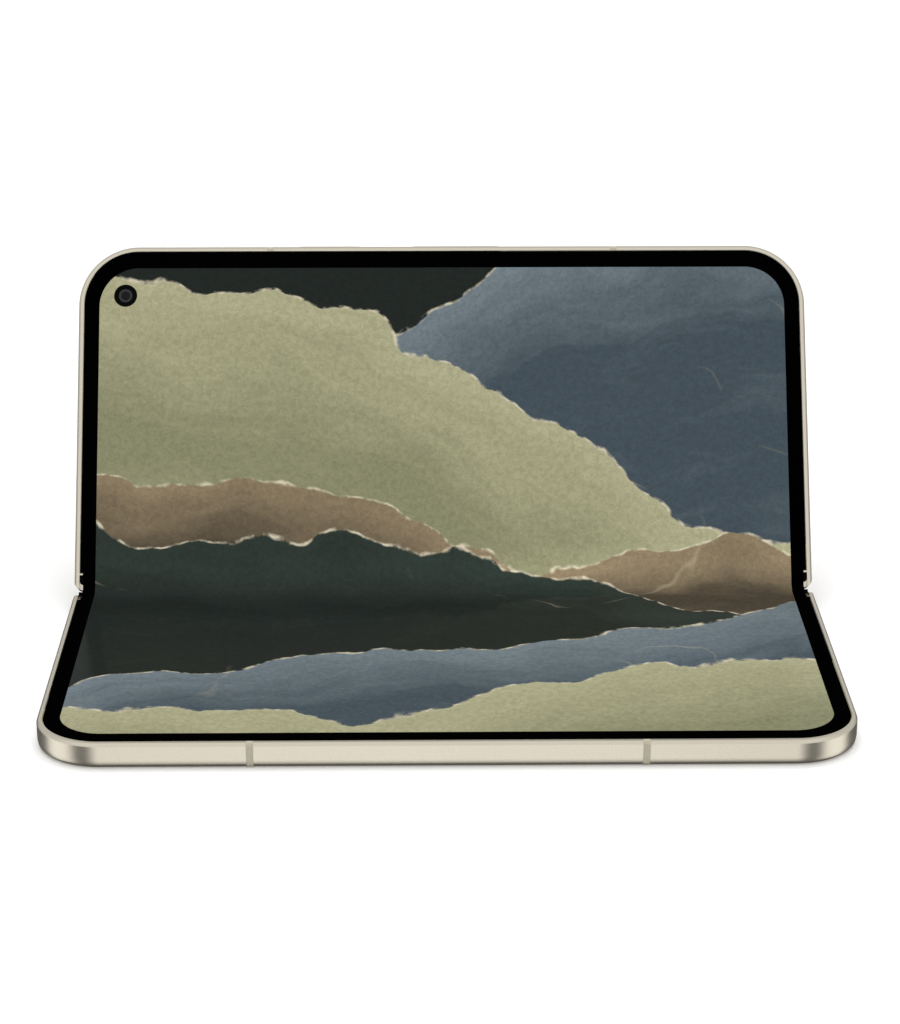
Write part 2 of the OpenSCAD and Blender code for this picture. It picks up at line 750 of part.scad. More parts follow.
module gear(y, phase, turn) translate([0, y, gear_z]) rotate([turn, 0, 0]) along_x(gear_x[0], gear_x[1])
  difference() {
    polygon(gear_outline(phase));
    circle(shaft_r + run_gap);
  }

module cover_idler() color(gold) spine_side() at_modules() gear(-idler_y, 180 / gear_teeth, half_fold);

module main_idler() color(gold) spine_side() at_modules() gear(idler_y, 0, -half_fold);

// Gear with an arm whose pin rides in the leaf's bracket, drawn for the side that y points to.
module link(phase) {
  difference() {
    union() {
      along_x(gear_x[0], gear_x[1]) polygon(gear_outline(phase));
      block([gear_x[0], 0, -link_low], [gear_x[1], link_len, link_high]);
      along_x(gear_x[0], gear_x[1]) translate([link_len, 0]) circle(link_boss_r);
      along_x(gear_x[0] + 0.5, bracket_x[1] - 0.1) translate([link_len, 0]) circle(link_pin_r);
    }
    along_x(gear_x[0] - 1, gear_x[1] + 1) circle(shaft_r + run_gap);
  }
}

module cover_link() color(gold) spine_side() at_modules() translate([0, -drive_y, gear_z])
  rotate([-half_fold, 0, 0]) mirror([0, 1, 0]) link(0);

module main_link() color(gold) spine_side() at_modules() translate([0, drive_y, gear_z])
  rotate([half_fold, 0, 0]) link(180 / gear_teeth);

// Strip across the hinge in the stored pose: flat, bent about one centre, and flat again.
function bend_centre() = [
  (axis_y - (screen_top - axis_z) * sin(half_fold)) / cos(half_fold) - axis_y - bend_r * tan(half_fold),
  screen_top + bend_r
];

function bend_side(z, reach) = let (c = bend_centre(), r = c[1] - z, flat = reach + c[0], t = 2 * half_fold)
  concat([[-reach, z]], [for (i = [0:24]) c + r * [sin(t * i / 24), -cos(t * i / 24)]],
    [c + r * [sin(t), -cos(t)] + flat * [cos(t), sin(t)]]);

function reversed(list) = [for (i = [len(list) - 1:-1:0]) list[i]];

module fold_strip(low, high, reach, from, to) translate([0, origin_y, 0]) along_x(from, to)
  polygon(concat(bend_side(low, reach), reversed(bend_side(high, reach))));

module fold_display() color([0.42, 0.42, 0.34])
  fold_strip(panel_low, screen_top, bend_reach, screen_gap - inner_x, inner_x - screen_gap);

module fold_border() color(dark) for (side = [0, 1]) mirror([side, 0, 0])
  fold_strip(screen_top, screen_top + border_t, bend_reach, half_w - border_w, inner_x - screen_gap);

module hinge_cables() color(copper) for (side = [-1, 1])
  fold_strip(trough_top + cable_gap, trough_top + cable_gap + cable_t, cable_reach,
    side * cable_pitch / 2 - cable_w / 2, side * cable_pitch / 2 + cable_w / 2);

module island_hole(gap) translate([island_x, island_s, -deep / 2]) linear_extrude(deep)
  round_rect(island_w - 2 + 2 * gap, island_l - 2 + 2 * gap, island_r - 1 + gap);

module key_outline(x, length, grow) translate([x, -key_z])
  pill(length + 2 * grow, key_h + 2 * grow, key_h / 2 + grow);

module key_room(x, length) along_y(inner_far - 1, leaf_len + 1) key_outline(x, length, key_gap);

module speaker_holes() for (i = [0:3])
  translate([speaker_s + speaker_pitch * i, sound_z]) circle(speaker_hole_r);

module main_frame() color(aluminium) main_side() {
  difference() {
    leaf_frame();
    rim_band_cuts([-band_x, band_x]);
    key_room(power_x, power_len);
    key_room(volume_x, volume_len);
    translate([inner_cam_x, inner_cam_s, 0]) cylinder(r = inner_cam_r + 0.7, h = deep);
    translate([0, usb_s, usb_z]) along_x(inner_x - 1, half_w + 1) pill(usb_w, usb_h, usb_h / 2);
    block([inner_x - shell_l - 1, usb_s - usb_w / 2 - usb_shell_t - 0.1, glass_seat],
      [inner_x, usb_s + usb_w / 2 + usb_shell_t + 0.1, plate_low]);
    along_x(inner_x - 1, half_w + 1) speaker_holes();
    along_x(inner_x - 1, half_w + 1) translate([usb_s - 13.1, sound_z]) circle(port_r);
    along_x(-half_w - 1, 1 - inner_x) {
      translate([leaf_len - 27.4, sound_z]) circle(port_r);
      translate([leaf_len - 18.1, sound_z]) pill(3, 2 * port_r, port_r);
    }
  }
  at_modules() arm_posts(arm_groove[0] + 0.1, arm_groove[1] - 0.1);
}

module main_antenna_bands() color(band_plastic) main_side() rim_bands([-band_x, band_x]);

module rear_glass() color([0.78, 0.76, 0.69]) main_side() difference() {
  leaf_plate(glass_inset + fit, glass_start + fit, 0, glass_t);
  island_hole(fit);
}

// Raised island with a bevelled edge and round openings for the lens windows.
module camera_island() color(aluminium) main_side() difference() {
  translate([island_x, island_s, 0]) {
    translate([0, 0, -island_h]) linear_extrude(island_h) round_rect(island_w, island_l, island_r);
    translate([0, 0, -1]) linear_extrude(1 + glass_t) round_rect(island_w - 2, island_l - 2, island_r - 1);
  }
  for (at = cameras) translate([at[0], at[1], -island_h - 1]) cylinder(r = window_r + fit, h = deep);
  translate([flash_at[0], flash_at[1], -island_h - 1]) cylinder(r = flash_r + fit, h = deep);
}

module camera_windows() color(lens_blue) main_side() for (at = cameras)
  translate([at[0], at[1], -island_h - 0.2]) cylinder(r = window_r, h = window_t);

module rear_camera(i, base) color(dark) main_side()
  camera_module(cameras[i], base, ledge_top, bay_high, 0.45 * base, window_t - island_h);

module wide_camera() rear_camera(0, wide_base);

module tele_camera() rear_camera(1, tele_base);

module ultrawide_camera() rear_camera(2, ultrawide_base);

module flash() color([0.95, 0.93, 0.80]) main_side() translate([flash_at[0], flash_at[1], -island_h]) {
  cylinder(r = flash_r, h = 0.8);
  translate([-1, -1, 0.7]) cube([2, 2, island_h + ledge_top + 0.5]);
}

module inner_camera() color(lens_blue) main_side()
  camera_module([inner_cam_x, inner_cam_s], inner_cam_base, battery_low, bay_high, inner_cam_r - fit,
    screen_top - 0.25);

module main_board() color(board_green) main_side() translate([board_left - half_w, 0, 0]) {
  block([0, near_margin, bay_high - board_t], [board_w, leaf_len - far_margin, bay_high]);
  for (s = [near_margin + 2, leaf_len - far_margin - 5])
    translate([board_w - 11, s, bay_high - board_t - 0.7]) cube([9, 3, 0.8]);
}

// Four shield cans, two by two, over the chips between the board's connectors.
module board_shields() color(steel) main_side() translate([board_left - half_w, near_margin, 0]) {
  can_w = (board_w - 4) / 2;
  can_l = (leaf_len - far_margin - near_margin - 15) / 2;
  for (column = [0, 1], row = [0, 1])
    translate([1 + column * (can_w + 2), 6.5 + row * (can_l + 2), bay_high - shield_h])
      cube([can_w, can_l, shield_h - board_t]);
}

module main_battery() color(battery_grey) main_side()
  block([main_battery_left - half_w, near_margin, battery_low],
    [half_w - main_battery_right, leaf_len - far_margin, bay_high]);

module charging_coil() color(copper) main_side() {
  middle = [(main_battery_left - main_battery_right) / 2, (near_margin + leaf_len - far_margin) / 2];
  translate([middle[0], middle[1], glass_t + fit]) linear_extrude(battery_low - glass_t - 2 * fit)
    difference() {
      circle(coil_r);
      circle(coil_r - coil_w);
    }
}

module vibration_motor() color(steel) main_side()
  translate([inner_x - ledge_w - motor_w - 2, near_margin, battery_low])
    cube([motor_w, motor_l, bay_high - battery_low]);

module loudspeaker() color(dark) main_side() difference() {
  right = inner_x - ledge_w - 0.2;
  block([right - speaker_w, speaker_s - 2, battery_low], [right, leaf_len - corner_r + 1, bay_high]);
  along_x(right - 2, right + 1) speaker_holes();
}

module usb_outline(grow) pill(usb_w + 2 * grow, usb_h + 2 * grow, usb_h / 2 + grow);

module usb_shell() color(steel) main_side() translate([0, usb_s, usb_z]) {
  along_x(inner_x - shell_l, inner_x - fit) difference() {
    usb_outline(usb_shell_t);
    usb_outline(0);
  }
  along_x(inner_x - shell_l - shell_back, inner_x - shell_l) usb_outline(usb_shell_t);
}

module usb_tongue() color(dark) main_side()
  translate([inner_x - shell_l, usb_s - tongue_w / 2, usb_z - tongue_t / 2])
    cube([tongue_l, tongue_w, tongue_t]);

// Flex strip with a dome switch behind each pressing place.
module key_switches() color(copper) main_side() {
  dome_end = inner_far - 0.02 - key_flange_t - key_travel - switch_gap;
  rocker_end = inner_far - rock_gap - key_flange_t - rock_gap;
  strip = dome_end - 1;
  block([power_x - 8, strip - 0.2, key_z - 0.8], [volume_x + rocker_press + 4, strip, key_z + 0.8]);
  translate([power_x, strip - 0.1, key_z]) rotate([-90, 0, 0])
    cylinder(r = dome_r, h = dome_end - strip + 0.1);
  for (side = [-1, 1]) translate([volume_x + side * rocker_press, strip - 0.1, key_z]) rotate([-90, 0, 0])
    cylinder(r = dome_r, h = rocker_end - strip + 0.1);
}

module key_shape(x, length, back_gap) {
  outer = leaf_len + key_proud;
  flange_face = inner_far - back_gap;
  along_y(flange_face - fit, outer) key_outline(x, length, 0);
  block([x - length / 2 - key_flange, flange_face - key_flange_t, key_z - key_h / 2],
    [x + length / 2 + key_flange, flange_face, key_z + key_h / 2]);
}

module power_key() color(aluminium) main_side() key_shape(power_x, power_len, 0.02);

module volume_key() color(aluminium) main_side() key_shape(volume_x, volume_len, rock_gap);

module main_backplate() color(steel) main_side() difference() {
  backplate();
  translate([inner_cam_x, inner_cam_s, 0]) cylinder(r = inner_cam_r + 0.5, h = deep);
}

module main_display() color([0.35, 0.37, 0.35]) main_side() difference() {
  leaf_plate(lip_w + screen_gap, bend_reach, panel_low, screen_top);
  translate([inner_cam_x, inner_cam_s, 0]) cylinder(r = inner_cam_r, h = deep);
}

module main_border() color(dark) main_side() border_ring();

cover_frame();
cover_antenna_bands();
cover_glass();
cover_screen();
cover_camera();
cover_battery();
cover_board();
earpiece();
sim_reader();
sim_tray();
cover_backplate();
cover_display();
cover_border();
cover_pivot_arms();
cover_link_brackets();
cover_hinge_screws();
cover_wing();
spine_cover();
spine_end_caps();
hinge_blocks();
drive_shafts();
idler_shafts();
torque_springs();
spine_screws();
fold_display();
fold_border();
hinge_cables();
cover_link();
cover_idler();
main_idler();
main_link();
main_frame();
main_antenna_bands();
rear_glass();
camera_island();
camera_windows();
wide_camera();
ultrawide_camera();
tele_camera();
flash();
inner_camera();
main_board();
board_shields();
main_battery();
charging_coil();
vibration_motor();
loudspeaker();
usb_shell();
usb_tongue();
key_switches();
power_key();
volume_key();
main_backplate();
main_display();
main_border();
main_pivot_arms();
main_link_brackets();
main_hinge_screws();
main_wing();
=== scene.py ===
# %% [markdown]
# # A foldable phone, standing half open
#
# The phone is a small laptop of glass and metal: one half lies on the table, the other leans
# back, and a flexible screen runs over both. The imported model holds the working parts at
# their real size. This lesson dresses them: it gives the rims their soft edges, bends the
# screen over the hinge, and mixes every finish from nodes.
#
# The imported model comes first, because every new piece is measured from it.

# %% Load the fixed frame
import json
import math

import bmesh
import bpy
from mathutils import Matrix, Vector


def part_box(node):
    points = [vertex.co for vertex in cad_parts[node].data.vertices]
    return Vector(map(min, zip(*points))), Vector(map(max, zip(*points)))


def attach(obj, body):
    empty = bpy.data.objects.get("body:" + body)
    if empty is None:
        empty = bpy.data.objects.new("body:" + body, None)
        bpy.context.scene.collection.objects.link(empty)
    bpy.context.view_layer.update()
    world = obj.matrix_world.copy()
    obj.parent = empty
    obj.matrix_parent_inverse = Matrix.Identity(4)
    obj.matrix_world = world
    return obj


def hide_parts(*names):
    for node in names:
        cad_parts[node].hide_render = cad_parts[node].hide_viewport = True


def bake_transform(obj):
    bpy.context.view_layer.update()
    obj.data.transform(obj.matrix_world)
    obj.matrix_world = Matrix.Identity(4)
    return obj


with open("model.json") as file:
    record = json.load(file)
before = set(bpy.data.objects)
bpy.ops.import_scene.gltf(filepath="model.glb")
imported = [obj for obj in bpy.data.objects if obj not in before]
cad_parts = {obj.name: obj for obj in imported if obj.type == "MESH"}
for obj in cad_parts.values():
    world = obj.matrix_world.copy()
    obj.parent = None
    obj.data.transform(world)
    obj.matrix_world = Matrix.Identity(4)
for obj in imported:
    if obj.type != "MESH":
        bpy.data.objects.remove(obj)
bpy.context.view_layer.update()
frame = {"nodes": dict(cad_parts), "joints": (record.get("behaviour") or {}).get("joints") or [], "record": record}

# %% [markdown]
# ## The camera
#
# A long lens far away keeps the two halves nearly parallel, as a product picture does. The
# camera stands half a metre in front of the hinge and looks down by about 20 degrees. It
# could be aimed with a tracking constraint, but a plain matrix made of three turns is easier
# to check: turn sideways, tip down, and level the horizon.

# %% Set up the camera
CAMERA_AT = Vector((-0.00604, -0.50251, 0.22374))
CAMERA_YAW = math.radians(0.775)
CAMERA_DOWN = math.radians(20.428)
CAMERA_LEVEL = math.radians(0.045)
CAMERA_LENS, SENSOR_W = 97.39, 36
SEEN_TO = 20

camera_data = bpy.data.cameras.new("camera")
camera_data.lens = CAMERA_LENS
camera_data.sensor_width = SENSOR_W
camera_data.clip_end = SEEN_TO
camera = bpy.data.objects.new("camera", camera_data)
camera.matrix_world = (
    Matrix.Translation(CAMERA_AT)
    @ Matrix.Rotation(-CAMERA_YAW, 4, "Z")
    @ Matrix.Rotation(math.radians(90) - CAMERA_DOWN, 4, "X")
    @ Matrix.Rotation(CAMERA_LEVEL, 4, "Z")
)
bpy.context.scene.collection.objects.link(camera)
bpy.context.scene.camera = camera
print("camera lens", camera_data.lens, "mm at", [round(c, 4) for c in CAMERA_AT])

# %% [markdown]
# ## Measures
#
# Both halves have the same leaf shape, so each is drawn flat: x runs along the hinge, y is
# the distance from the hinge's middle, and z is the height above the outer face. Drawing in
# millimetres keeps the numbers readable. Two matrices then carry a drawn leaf to its place,
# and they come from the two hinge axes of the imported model.

# %% Measure the leaves from the hinge axes
MM = 0.001
joints = {joint["name"]: joint for joint in frame["joints"]}
cover_axis = Vector(joints["spine_fold"]["pos_m"]) / MM
main_axis = Vector(joints["main_fold"]["pos_m"]) / MM
fold = -math.radians(joints["spine_fold"]["range_deg"][0])

frame_low, frame_high = (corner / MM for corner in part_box("cover_frame"))
half_w = frame_high.x
leaf_t = frame_high.z
axis_z = cover_axis.z
axis_y = (main_axis - cover_axis).length / 2
hinge_y = cover_axis.y + axis_y
leaf_len = hinge_y - frame_low.y

cover_leaf = Matrix.Translation((0, hinge_y, 0)) @ Matrix.Scale(-1, 4, (0, 1, 0))
main_leaf = (
    Matrix.Translation(main_axis) @ Matrix.Rotation(2 * fold, 4, "X")
    @ Matrix.Translation((0, -axis_y, -axis_z))
)
print("leaf", round(2 * half_w, 2), "x", round(leaf_len, 2), "x", round(leaf_t, 2), "mm")
print("folded by", round(math.degrees(2 * fold)), "degrees")

# %% The leaf's own sizes, in millimetres
corner_r = 12.8
side_wall = 1.75
lip_w = 1.1
glass_inset = 1.6
glass_t = 0.55
glass_seat = 0.6
glass_start = 6.3
screen_drop = 0.2
panel_t = 0.6
screen_top = leaf_t - screen_drop
panel_low = screen_top - panel_t
border_w = 4.4
border_far = 4.75
border_t = 0.1
screen_gap = 0.1
band_x = 36.8
band_w = 1.3
inner_x = half_w - side_wall
wall_end = 0.95
lip_end = 4.0
lip_step = 0.35
groove_depth = 0.8
groove_low = panel_low - groove_depth
CORNER_STEPS = 28

# %% [markdown]
# ## Small tools for pieces
#
# Every piece is drawn with bmesh operators in a leaf's flat frame, then placed once. A
# rounded rectangle starts as one circle whose four quarters are pulled apart, which gives
# true round corners without working out any point by hand.

# %% Rounded faces and slabs
def rounded_face(bm, width, length, radius, steps=CORNER_STEPS):
    """A flat face with round corners, made from a circle whose quarters are pulled apart."""
    half_step = Matrix.Rotation(math.pi / (4 * steps), 4, "Z")
    ring = bmesh.ops.create_circle(
        bm, cap_ends=True, radius=radius, segments=4 * steps, matrix=half_step
    )
    for v in ring["verts"]:
        v.co.x += math.copysign(width / 2 - radius, v.co.x)
        v.co.y += math.copysign(length / 2 - radius, v.co.y)
    return ring["verts"]


def pushed(bm, vec):
    """Pulls every face along a vector into a closed solid."""
    grown = bmesh.ops.extrude_face_region(bm, geom=bm.faces[:])["geom"]
    moving = [g for g in grown if isinstance(g, bmesh.types.BMVert)]
    bmesh.ops.translate(bm, vec=vec, verts=moving)
    return bm


def whole(bm):
    return bm.verts[:] + bm.edges[:] + bm.faces[:]


def leaf_slab(inset, start, low, high, steps=CORNER_STEPS):
    """A plate with the leaf's outline, set in from the edge, from start to its far end."""
    bm = bmesh.new()
    far = leaf_len - inset
    verts = rounded_face(bm, 2 * (half_w - inset), 2 * (far - start), corner_r - inset, steps)
    bmesh.ops.translate(bm, vec=(0, start, low), verts=verts)
    bmesh.ops.bisect_plane(
        bm, geom=whole(bm), plane_co=(0, start, 0), plane_no=(0, 1, 0), clear_inner=True
    )
    return pushed(bm, (0, 0, high - low))


def prism(width, length, radius, height, steps=12):
    """A rounded bar that stands on its face; with radius half its length it is a pill."""
    bm = bmesh.new()
    rounded_face(bm, width, length, radius, steps)
    return pushed(bm, (0, 0, height))


def block(low, high):
    """A box between two corners."""
    bm = bmesh.new()
    size = [b - a for a, b in zip(low, high)]
    middle = [(a + b) / 2 for a, b in zip(low, high)]
    place = Matrix.Translation(middle) @ Matrix.Diagonal((*size, 1))
    bmesh.ops.create_cube(bm, size=1, matrix=place)
    return bm


# %% Edges, cuts and joins
def soften(bm, width, wanted=lambda edge: True, segments=3, sharper=0.6):
    """Rounds the hard edges that the test picks."""
    edges = [e for e in bm.edges if e.calc_face_angle(0) > sharper and wanted(e)]
    bmesh.ops.bevel(
        bm, geom=edges, offset=width, offset_type="OFFSET", segments=segments,
        profile=0.5, affect="EDGES", clamp_overlap=True, material=-1,
    )


def at_height(level):
    """A test for edges that lie at one height."""
    return lambda edge: all(abs(v.co.z - level) < 1e-3 for v in edge.verts)


def moved(bm, matrix):
    bmesh.ops.transform(bm, matrix=matrix, verts=bm.verts)
    return bm


def joined(parts):
    """Several drawings in one, with no change to any of them."""
    bm = bmesh.new()
    for part in parts:
        mesh = bpy.data.meshes.new("part")
        part.to_mesh(mesh)
        part.free()
        bm.from_mesh(mesh)
        bpy.data.meshes.remove(mesh)
    return bm


def carve(bm, tool, operation="DIFFERENCE"):
    """Cuts one closed drawing with another. Both are used up and the result is new."""
    pair = []
    for source in (bm, tool):
        bmesh.ops.recalc_face_normals(source, faces=source.faces)
        mesh = bpy.data.meshes.new("carve")
        source.to_mesh(mesh)
        source.free()
        pair.append(bpy.data.objects.new("carve", mesh))
        bpy.context.scene.collection.objects.link(pair[-1])
    change = pair[0].modifiers.new("carve", "BOOLEAN")
    change.operation = operation
    change.solver = "EXACT"
    change.object = pair[1]
    bpy.context.view_layer.update()
    shown = pair[0].evaluated_get(bpy.context.evaluated_depsgraph_get())
    out = bmesh.new()
    out.from_mesh(shown.to_mesh())
    shown.to_mesh_clear()
    for obj in pair:
        mesh = obj.data
        bpy.data.objects.remove(obj)
        bpy.data.meshes.remove(mesh)
    bmesh.ops.remove_doubles(out, verts=out.verts, dist=1e-4)
    return out


# %% Make the finished object
def piece(bm, name, leaf, body, material, replaces=(), smooth=32):
    """Places a drawing by its leaf, turns it into metres and hangs it on its body."""
    bmesh.ops.transform(bm, matrix=Matrix.Scale(MM, 4) @ leaf, verts=bm.verts)
    bmesh.ops.recalc_face_normals(bm, faces=bm.faces)
    mesh = bpy.data.meshes.new(name)
    bm.to_mesh(mesh)
    bm.free()
    mesh.materials.append(material)
    mesh.shade_smooth()
    mesh.set_sharp_from_angle(angle=math.radians(smooth))
    obj = bpy.data.objects.new(name, mesh)
    bpy.context.scene.collection.objects.link(obj)
    even = obj.modifiers.new("even shading", "WEIGHTED_NORMAL")
    even.keep_sharp = True
    if replaces:
        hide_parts(*replaces)
    if body:
        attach(obj, body)
    print(name, len(mesh.polygons), "faces")
    return obj


# %% [markdown]
# ## Shared effects
#
# Bead-blasted metal, moulded plastic and frosted glass all owe their look to fine grain, and
# a finish that is spread by hand or machine drifts a little over its length. Both effects are
# built once as node groups. A group here gives out only values and colours: the shader itself
# stays in each material, where its plain numbers are easy to find.

# %% Node helpers
def srgb(r, g, b):
    """A colour given in screen values from 0 to 255, as the linear values that nodes want."""
    def linear(c):
        c /= 255
        return c / 12.92 if c <= 0.04045 else ((c + 0.055) / 1.055) ** 2.4
    return (linear(r), linear(g), linear(b), 1)


def new_group(name, inputs, outputs):
    """An empty shader group with named sockets, given as (name, kind, default)."""
    group = bpy.data.node_groups.new(name, "ShaderNodeTree")
    for label, kind, default in inputs:
        socket = group.interface.new_socket(name=label, in_out="INPUT", socket_type=kind)
        if default is not None:
            socket.default_value = default
    for label, kind in outputs:
        group.interface.new_socket(name=label, in_out="OUTPUT", socket_type=kind)
    return group


def node(tree, kind, at, **values):
    """Adds a node and sets its properties; inputs are set by name with a leading i_."""
    made = tree.nodes.new(kind)
    made.location = at
    for key, value in values.items():
        if key.startswith("i_"):
            made.inputs[key[2:].replace("_", " ")].default_value = value
        else:
            setattr(made, key, value)
    return made


def math_node(tree, operation, at, a, b=None, clamp=False):
    """Arithmetic on sockets or plain numbers."""
    made = node(tree, "ShaderNodeMath", at, operation=operation, use_clamp=clamp)
    for index, value in enumerate((a, b)):
        if value is None:
            continue
        if isinstance(value, bpy.types.NodeSocket):
            tree.links.new(value, made.inputs[index])
        else:
            made.inputs[index].default_value = value
    return made.outputs[0]


def colour_mix(tree, at, factor, a, b, blend="MIX"):
    """Mixes two colours or colour sockets by a factor socket or number."""
    made = node(tree, "ShaderNodeMix", at, data_type="RGBA", blend_type=blend)
    for index, value in ((0, factor), (6, a), (7, b)):
        if isinstance(value, bpy.types.NodeSocket):
            tree.links.new(value, made.inputs[index])
        else:
            made.inputs[index].default_value = value
    return made.outputs[2]


FLOAT, VECTOR, COLOR = "NodeSocketFloat", "NodeSocketVector", "NodeSocketColor"


# %% Fine grain: the pitted skin of blasted metal and moulded plastic
def build_grain():
    group = new_group(
        "fine_grain",
        [("Vector", VECTOR, None), ("Grain size", FLOAT, 0.1), ("Drift size", FLOAT, 30.0)],
        [("Grain", FLOAT), ("Drift", FLOAT)],
    )
    into = node(group, "NodeGroupInput", (-600, 0))
    out = node(group, "NodeGroupOutput", (400, 0))
    for label, row, detail in (("Grain", 120, 2.0), ("Drift", -160, 3.0)):
        millimetres = math_node(group, "MULTIPLY", (-420, row), into.outputs[f"{label} size"], MM)
        scale = math_node(group, "DIVIDE", (-260, row), 1.0, millimetres)
        noise = node(group, "ShaderNodeTexNoise", (-60, row), i_Detail=detail)
        group.links.new(into.outputs["Vector"], noise.inputs["Vector"])
        group.links.new(scale, noise.inputs["Scale"])
        group.links.new(noise.outputs["Fac"], out.inputs[label])
    return group


fine_grain = build_grain()


# %% Brushed lines: long scratches along the hinge
def build_brushed():
    group = new_group(
        "brushed_lines",
        [("Vector", VECTOR, None), ("Line width", FLOAT, 0.05), ("Stretch", FLOAT, 40.0)],
        [("Lines", FLOAT)],
    )
    into = node(group, "NodeGroupInput", (-700, 0))
    out = node(group, "NodeGroupOutput", (400, 0))
    split = node(group, "ShaderNodeSeparateXYZ", (-520, 0))
    group.links.new(into.outputs["Vector"], split.inputs[0])
    squeezed = math_node(group, "DIVIDE", (-340, 120), split.outputs[0], into.outputs["Stretch"])
    back = node(group, "ShaderNodeCombineXYZ", (-180, 0))
    group.links.new(squeezed, back.inputs[0])
    group.links.new(split.outputs[1], back.inputs[1])
    group.links.new(split.outputs[2], back.inputs[2])
    millimetres = math_node(group, "MULTIPLY", (-340, -160), into.outputs["Line width"], MM)
    scale = math_node(group, "DIVIDE", (-180, -160), 1.0, millimetres)
    noise = node(group, "ShaderNodeTexNoise", (40, 0), i_Detail=4.0, i_Roughness=0.65)
    group.links.new(back.outputs[0], noise.inputs["Vector"])
    group.links.new(scale, noise.inputs["Scale"])
    group.links.new(noise.outputs["Fac"], out.inputs["Lines"])
    return group


brushed_lines = build_brushed()
print("shared groups:", fine_grain.name, brushed_lines.name)

# %% [markdown]
# ## Finishes
#
# One recipe serves most of them: a base colour that drifts by a few percent, a roughness that
# the grain breaks up, and a very low bump. The numbers decide the material: the rim's blasted
# aluminium is metallic and half rough, the antenna bands are the same tone in plastic, and
# polished glass has almost no grain at all.

# %% The recipe
def finish(name, colour, second, metallic=0.0, roughness=0.5, spread=0.06, grain=0.12,
           drift=25.0, bump=0.02, lines=0.0, **shader_values):
    """A grained finish: colour and roughness vary over the surface, the rest is plain."""
    material = bpy.data.materials.new(name)
    material.use_nodes = True
    tree = material.node_tree
    shader = tree.nodes["Principled BSDF"]
    where = node(tree, "ShaderNodeTexCoord", (-1100, 0))
    effect = node(tree, "ShaderNodeGroup", (-800, 0), node_tree=fine_grain)
    effect.inputs["Grain size"].default_value = grain
    effect.inputs["Drift size"].default_value = drift
    tree.links.new(where.outputs["Object"], effect.inputs["Vector"])
    height = effect.outputs["Grain"]
    if lines:
        brushed = node(tree, "ShaderNodeGroup", (-800, -260), node_tree=brushed_lines)
        brushed.inputs["Line width"].default_value = lines
        tree.links.new(where.outputs["Object"], brushed.inputs["Vector"])
        height = brushed.outputs["Lines"]
    colours = colour_mix(tree, (-400, 200), effect.outputs["Drift"], colour, second)
    tree.links.new(colours, shader.inputs["Base Color"])
    rough = node(tree, "ShaderNodeMapRange", (-400, -40), i_From_Min=0.3, i_From_Max=0.7)
    rough.inputs["To Min"].default_value = roughness - spread
    rough.inputs["To Max"].default_value = roughness + spread
    tree.links.new(height, rough.inputs["Value"])
    tree.links.new(rough.outputs["Result"], shader.inputs["Roughness"])
    relief = node(tree, "ShaderNodeBump", (-400, -320), i_Strength=0.5, i_Distance=bump * MM)
    tree.links.new(height, relief.inputs["Height"])
    tree.links.new(relief.outputs["Normal"], shader.inputs["Normal"])
    shader.inputs["Metallic"].default_value = metallic
    for key, value in shader_values.items():
        shader.inputs[key.replace("_", " ")].default_value = value
    return material


# %% Metals
satin_aluminium = finish(
    "satin_aluminium", srgb(222, 215, 198), srgb(217, 209, 191), metallic=1.0,
    roughness=0.3, spread=0.05, grain=0.09, drift=40, bump=0.004,
)
key_aluminium = finish(
    "key_aluminium", srgb(219, 212, 197), srgb(212, 205, 188), metallic=1.0,
    roughness=0.3, spread=0.04, grain=0.07, drift=12, bump=0.003,
)
spine_aluminium = finish(
    "spine_aluminium", srgb(222, 216, 199), srgb(214, 207, 188), metallic=1.0,
    roughness=0.22, spread=0.05, grain=0.07, drift=30, bump=0.003, lines=0.04,
)
hinge_steel = finish(
    "hinge_steel", srgb(176, 177, 180), srgb(160, 161, 165), metallic=1.0,
    roughness=0.34, spread=0.09, grain=0.06, drift=9, bump=0.004, lines=0.05,
)
hinge_bronze = finish(
    "hinge_bronze", srgb(196, 160, 104), srgb(170, 134, 82), metallic=1.0,
    roughness=0.46, spread=0.1, grain=0.05, drift=3, bump=0.006,
)
shield_metal = finish(
    "shield_metal", srgb(190, 191, 192), srgb(172, 173, 176), metallic=1.0,
    roughness=0.42, spread=0.08, grain=0.12, drift=7, bump=0.006,
)

# %% Plastics, films and boards
band_plastic = finish(
    "band_plastic", srgb(196, 189, 168), srgb(190, 182, 160), roughness=0.42, grain=0.06,
    drift=14, bump=0.003,
)
border_black = finish(
    "border_black", srgb(3, 3, 3), srgb(1, 1, 1), roughness=0.6, grain=0.08, drift=20,
    bump=0.002, Specular_IOR_Level=0.0,
)
module_black = finish(
    "module_black", srgb(30, 30, 33), srgb(21, 21, 24), roughness=0.52, grain=0.09, drift=4,
    bump=0.008,
)
# This black is the camera cap's own colour, and also painted shade on the groove strips and the spine's end caps
# beside the hinge.
black_and_painted_shade = finish(
    "black_and_painted_shade", srgb(6, 6, 6), srgb(3, 3, 3), roughness=0.6, grain=0.09, drift=6, bump=0.004,
    Specular_IOR_Level=0.04,
)
circuit_board = finish(
    "circuit_board", srgb(22, 62, 48), srgb(31, 80, 60), roughness=0.38, grain=0.25, drift=2.4,
    bump=0.012,
)
battery_pouch = finish(
    "battery_pouch", srgb(104, 106, 110), srgb(90, 92, 97), metallic=0.8, roughness=0.44,
    grain=0.5, drift=8, bump=0.02,
)
flex_copper = finish(
    "flex_copper", srgb(176, 112, 48), srgb(150, 88, 34), metallic=0.5, roughness=0.34,
    grain=0.4, drift=2.2, bump=0.006,
)
print("finishes so far:", len(bpy.data.materials))

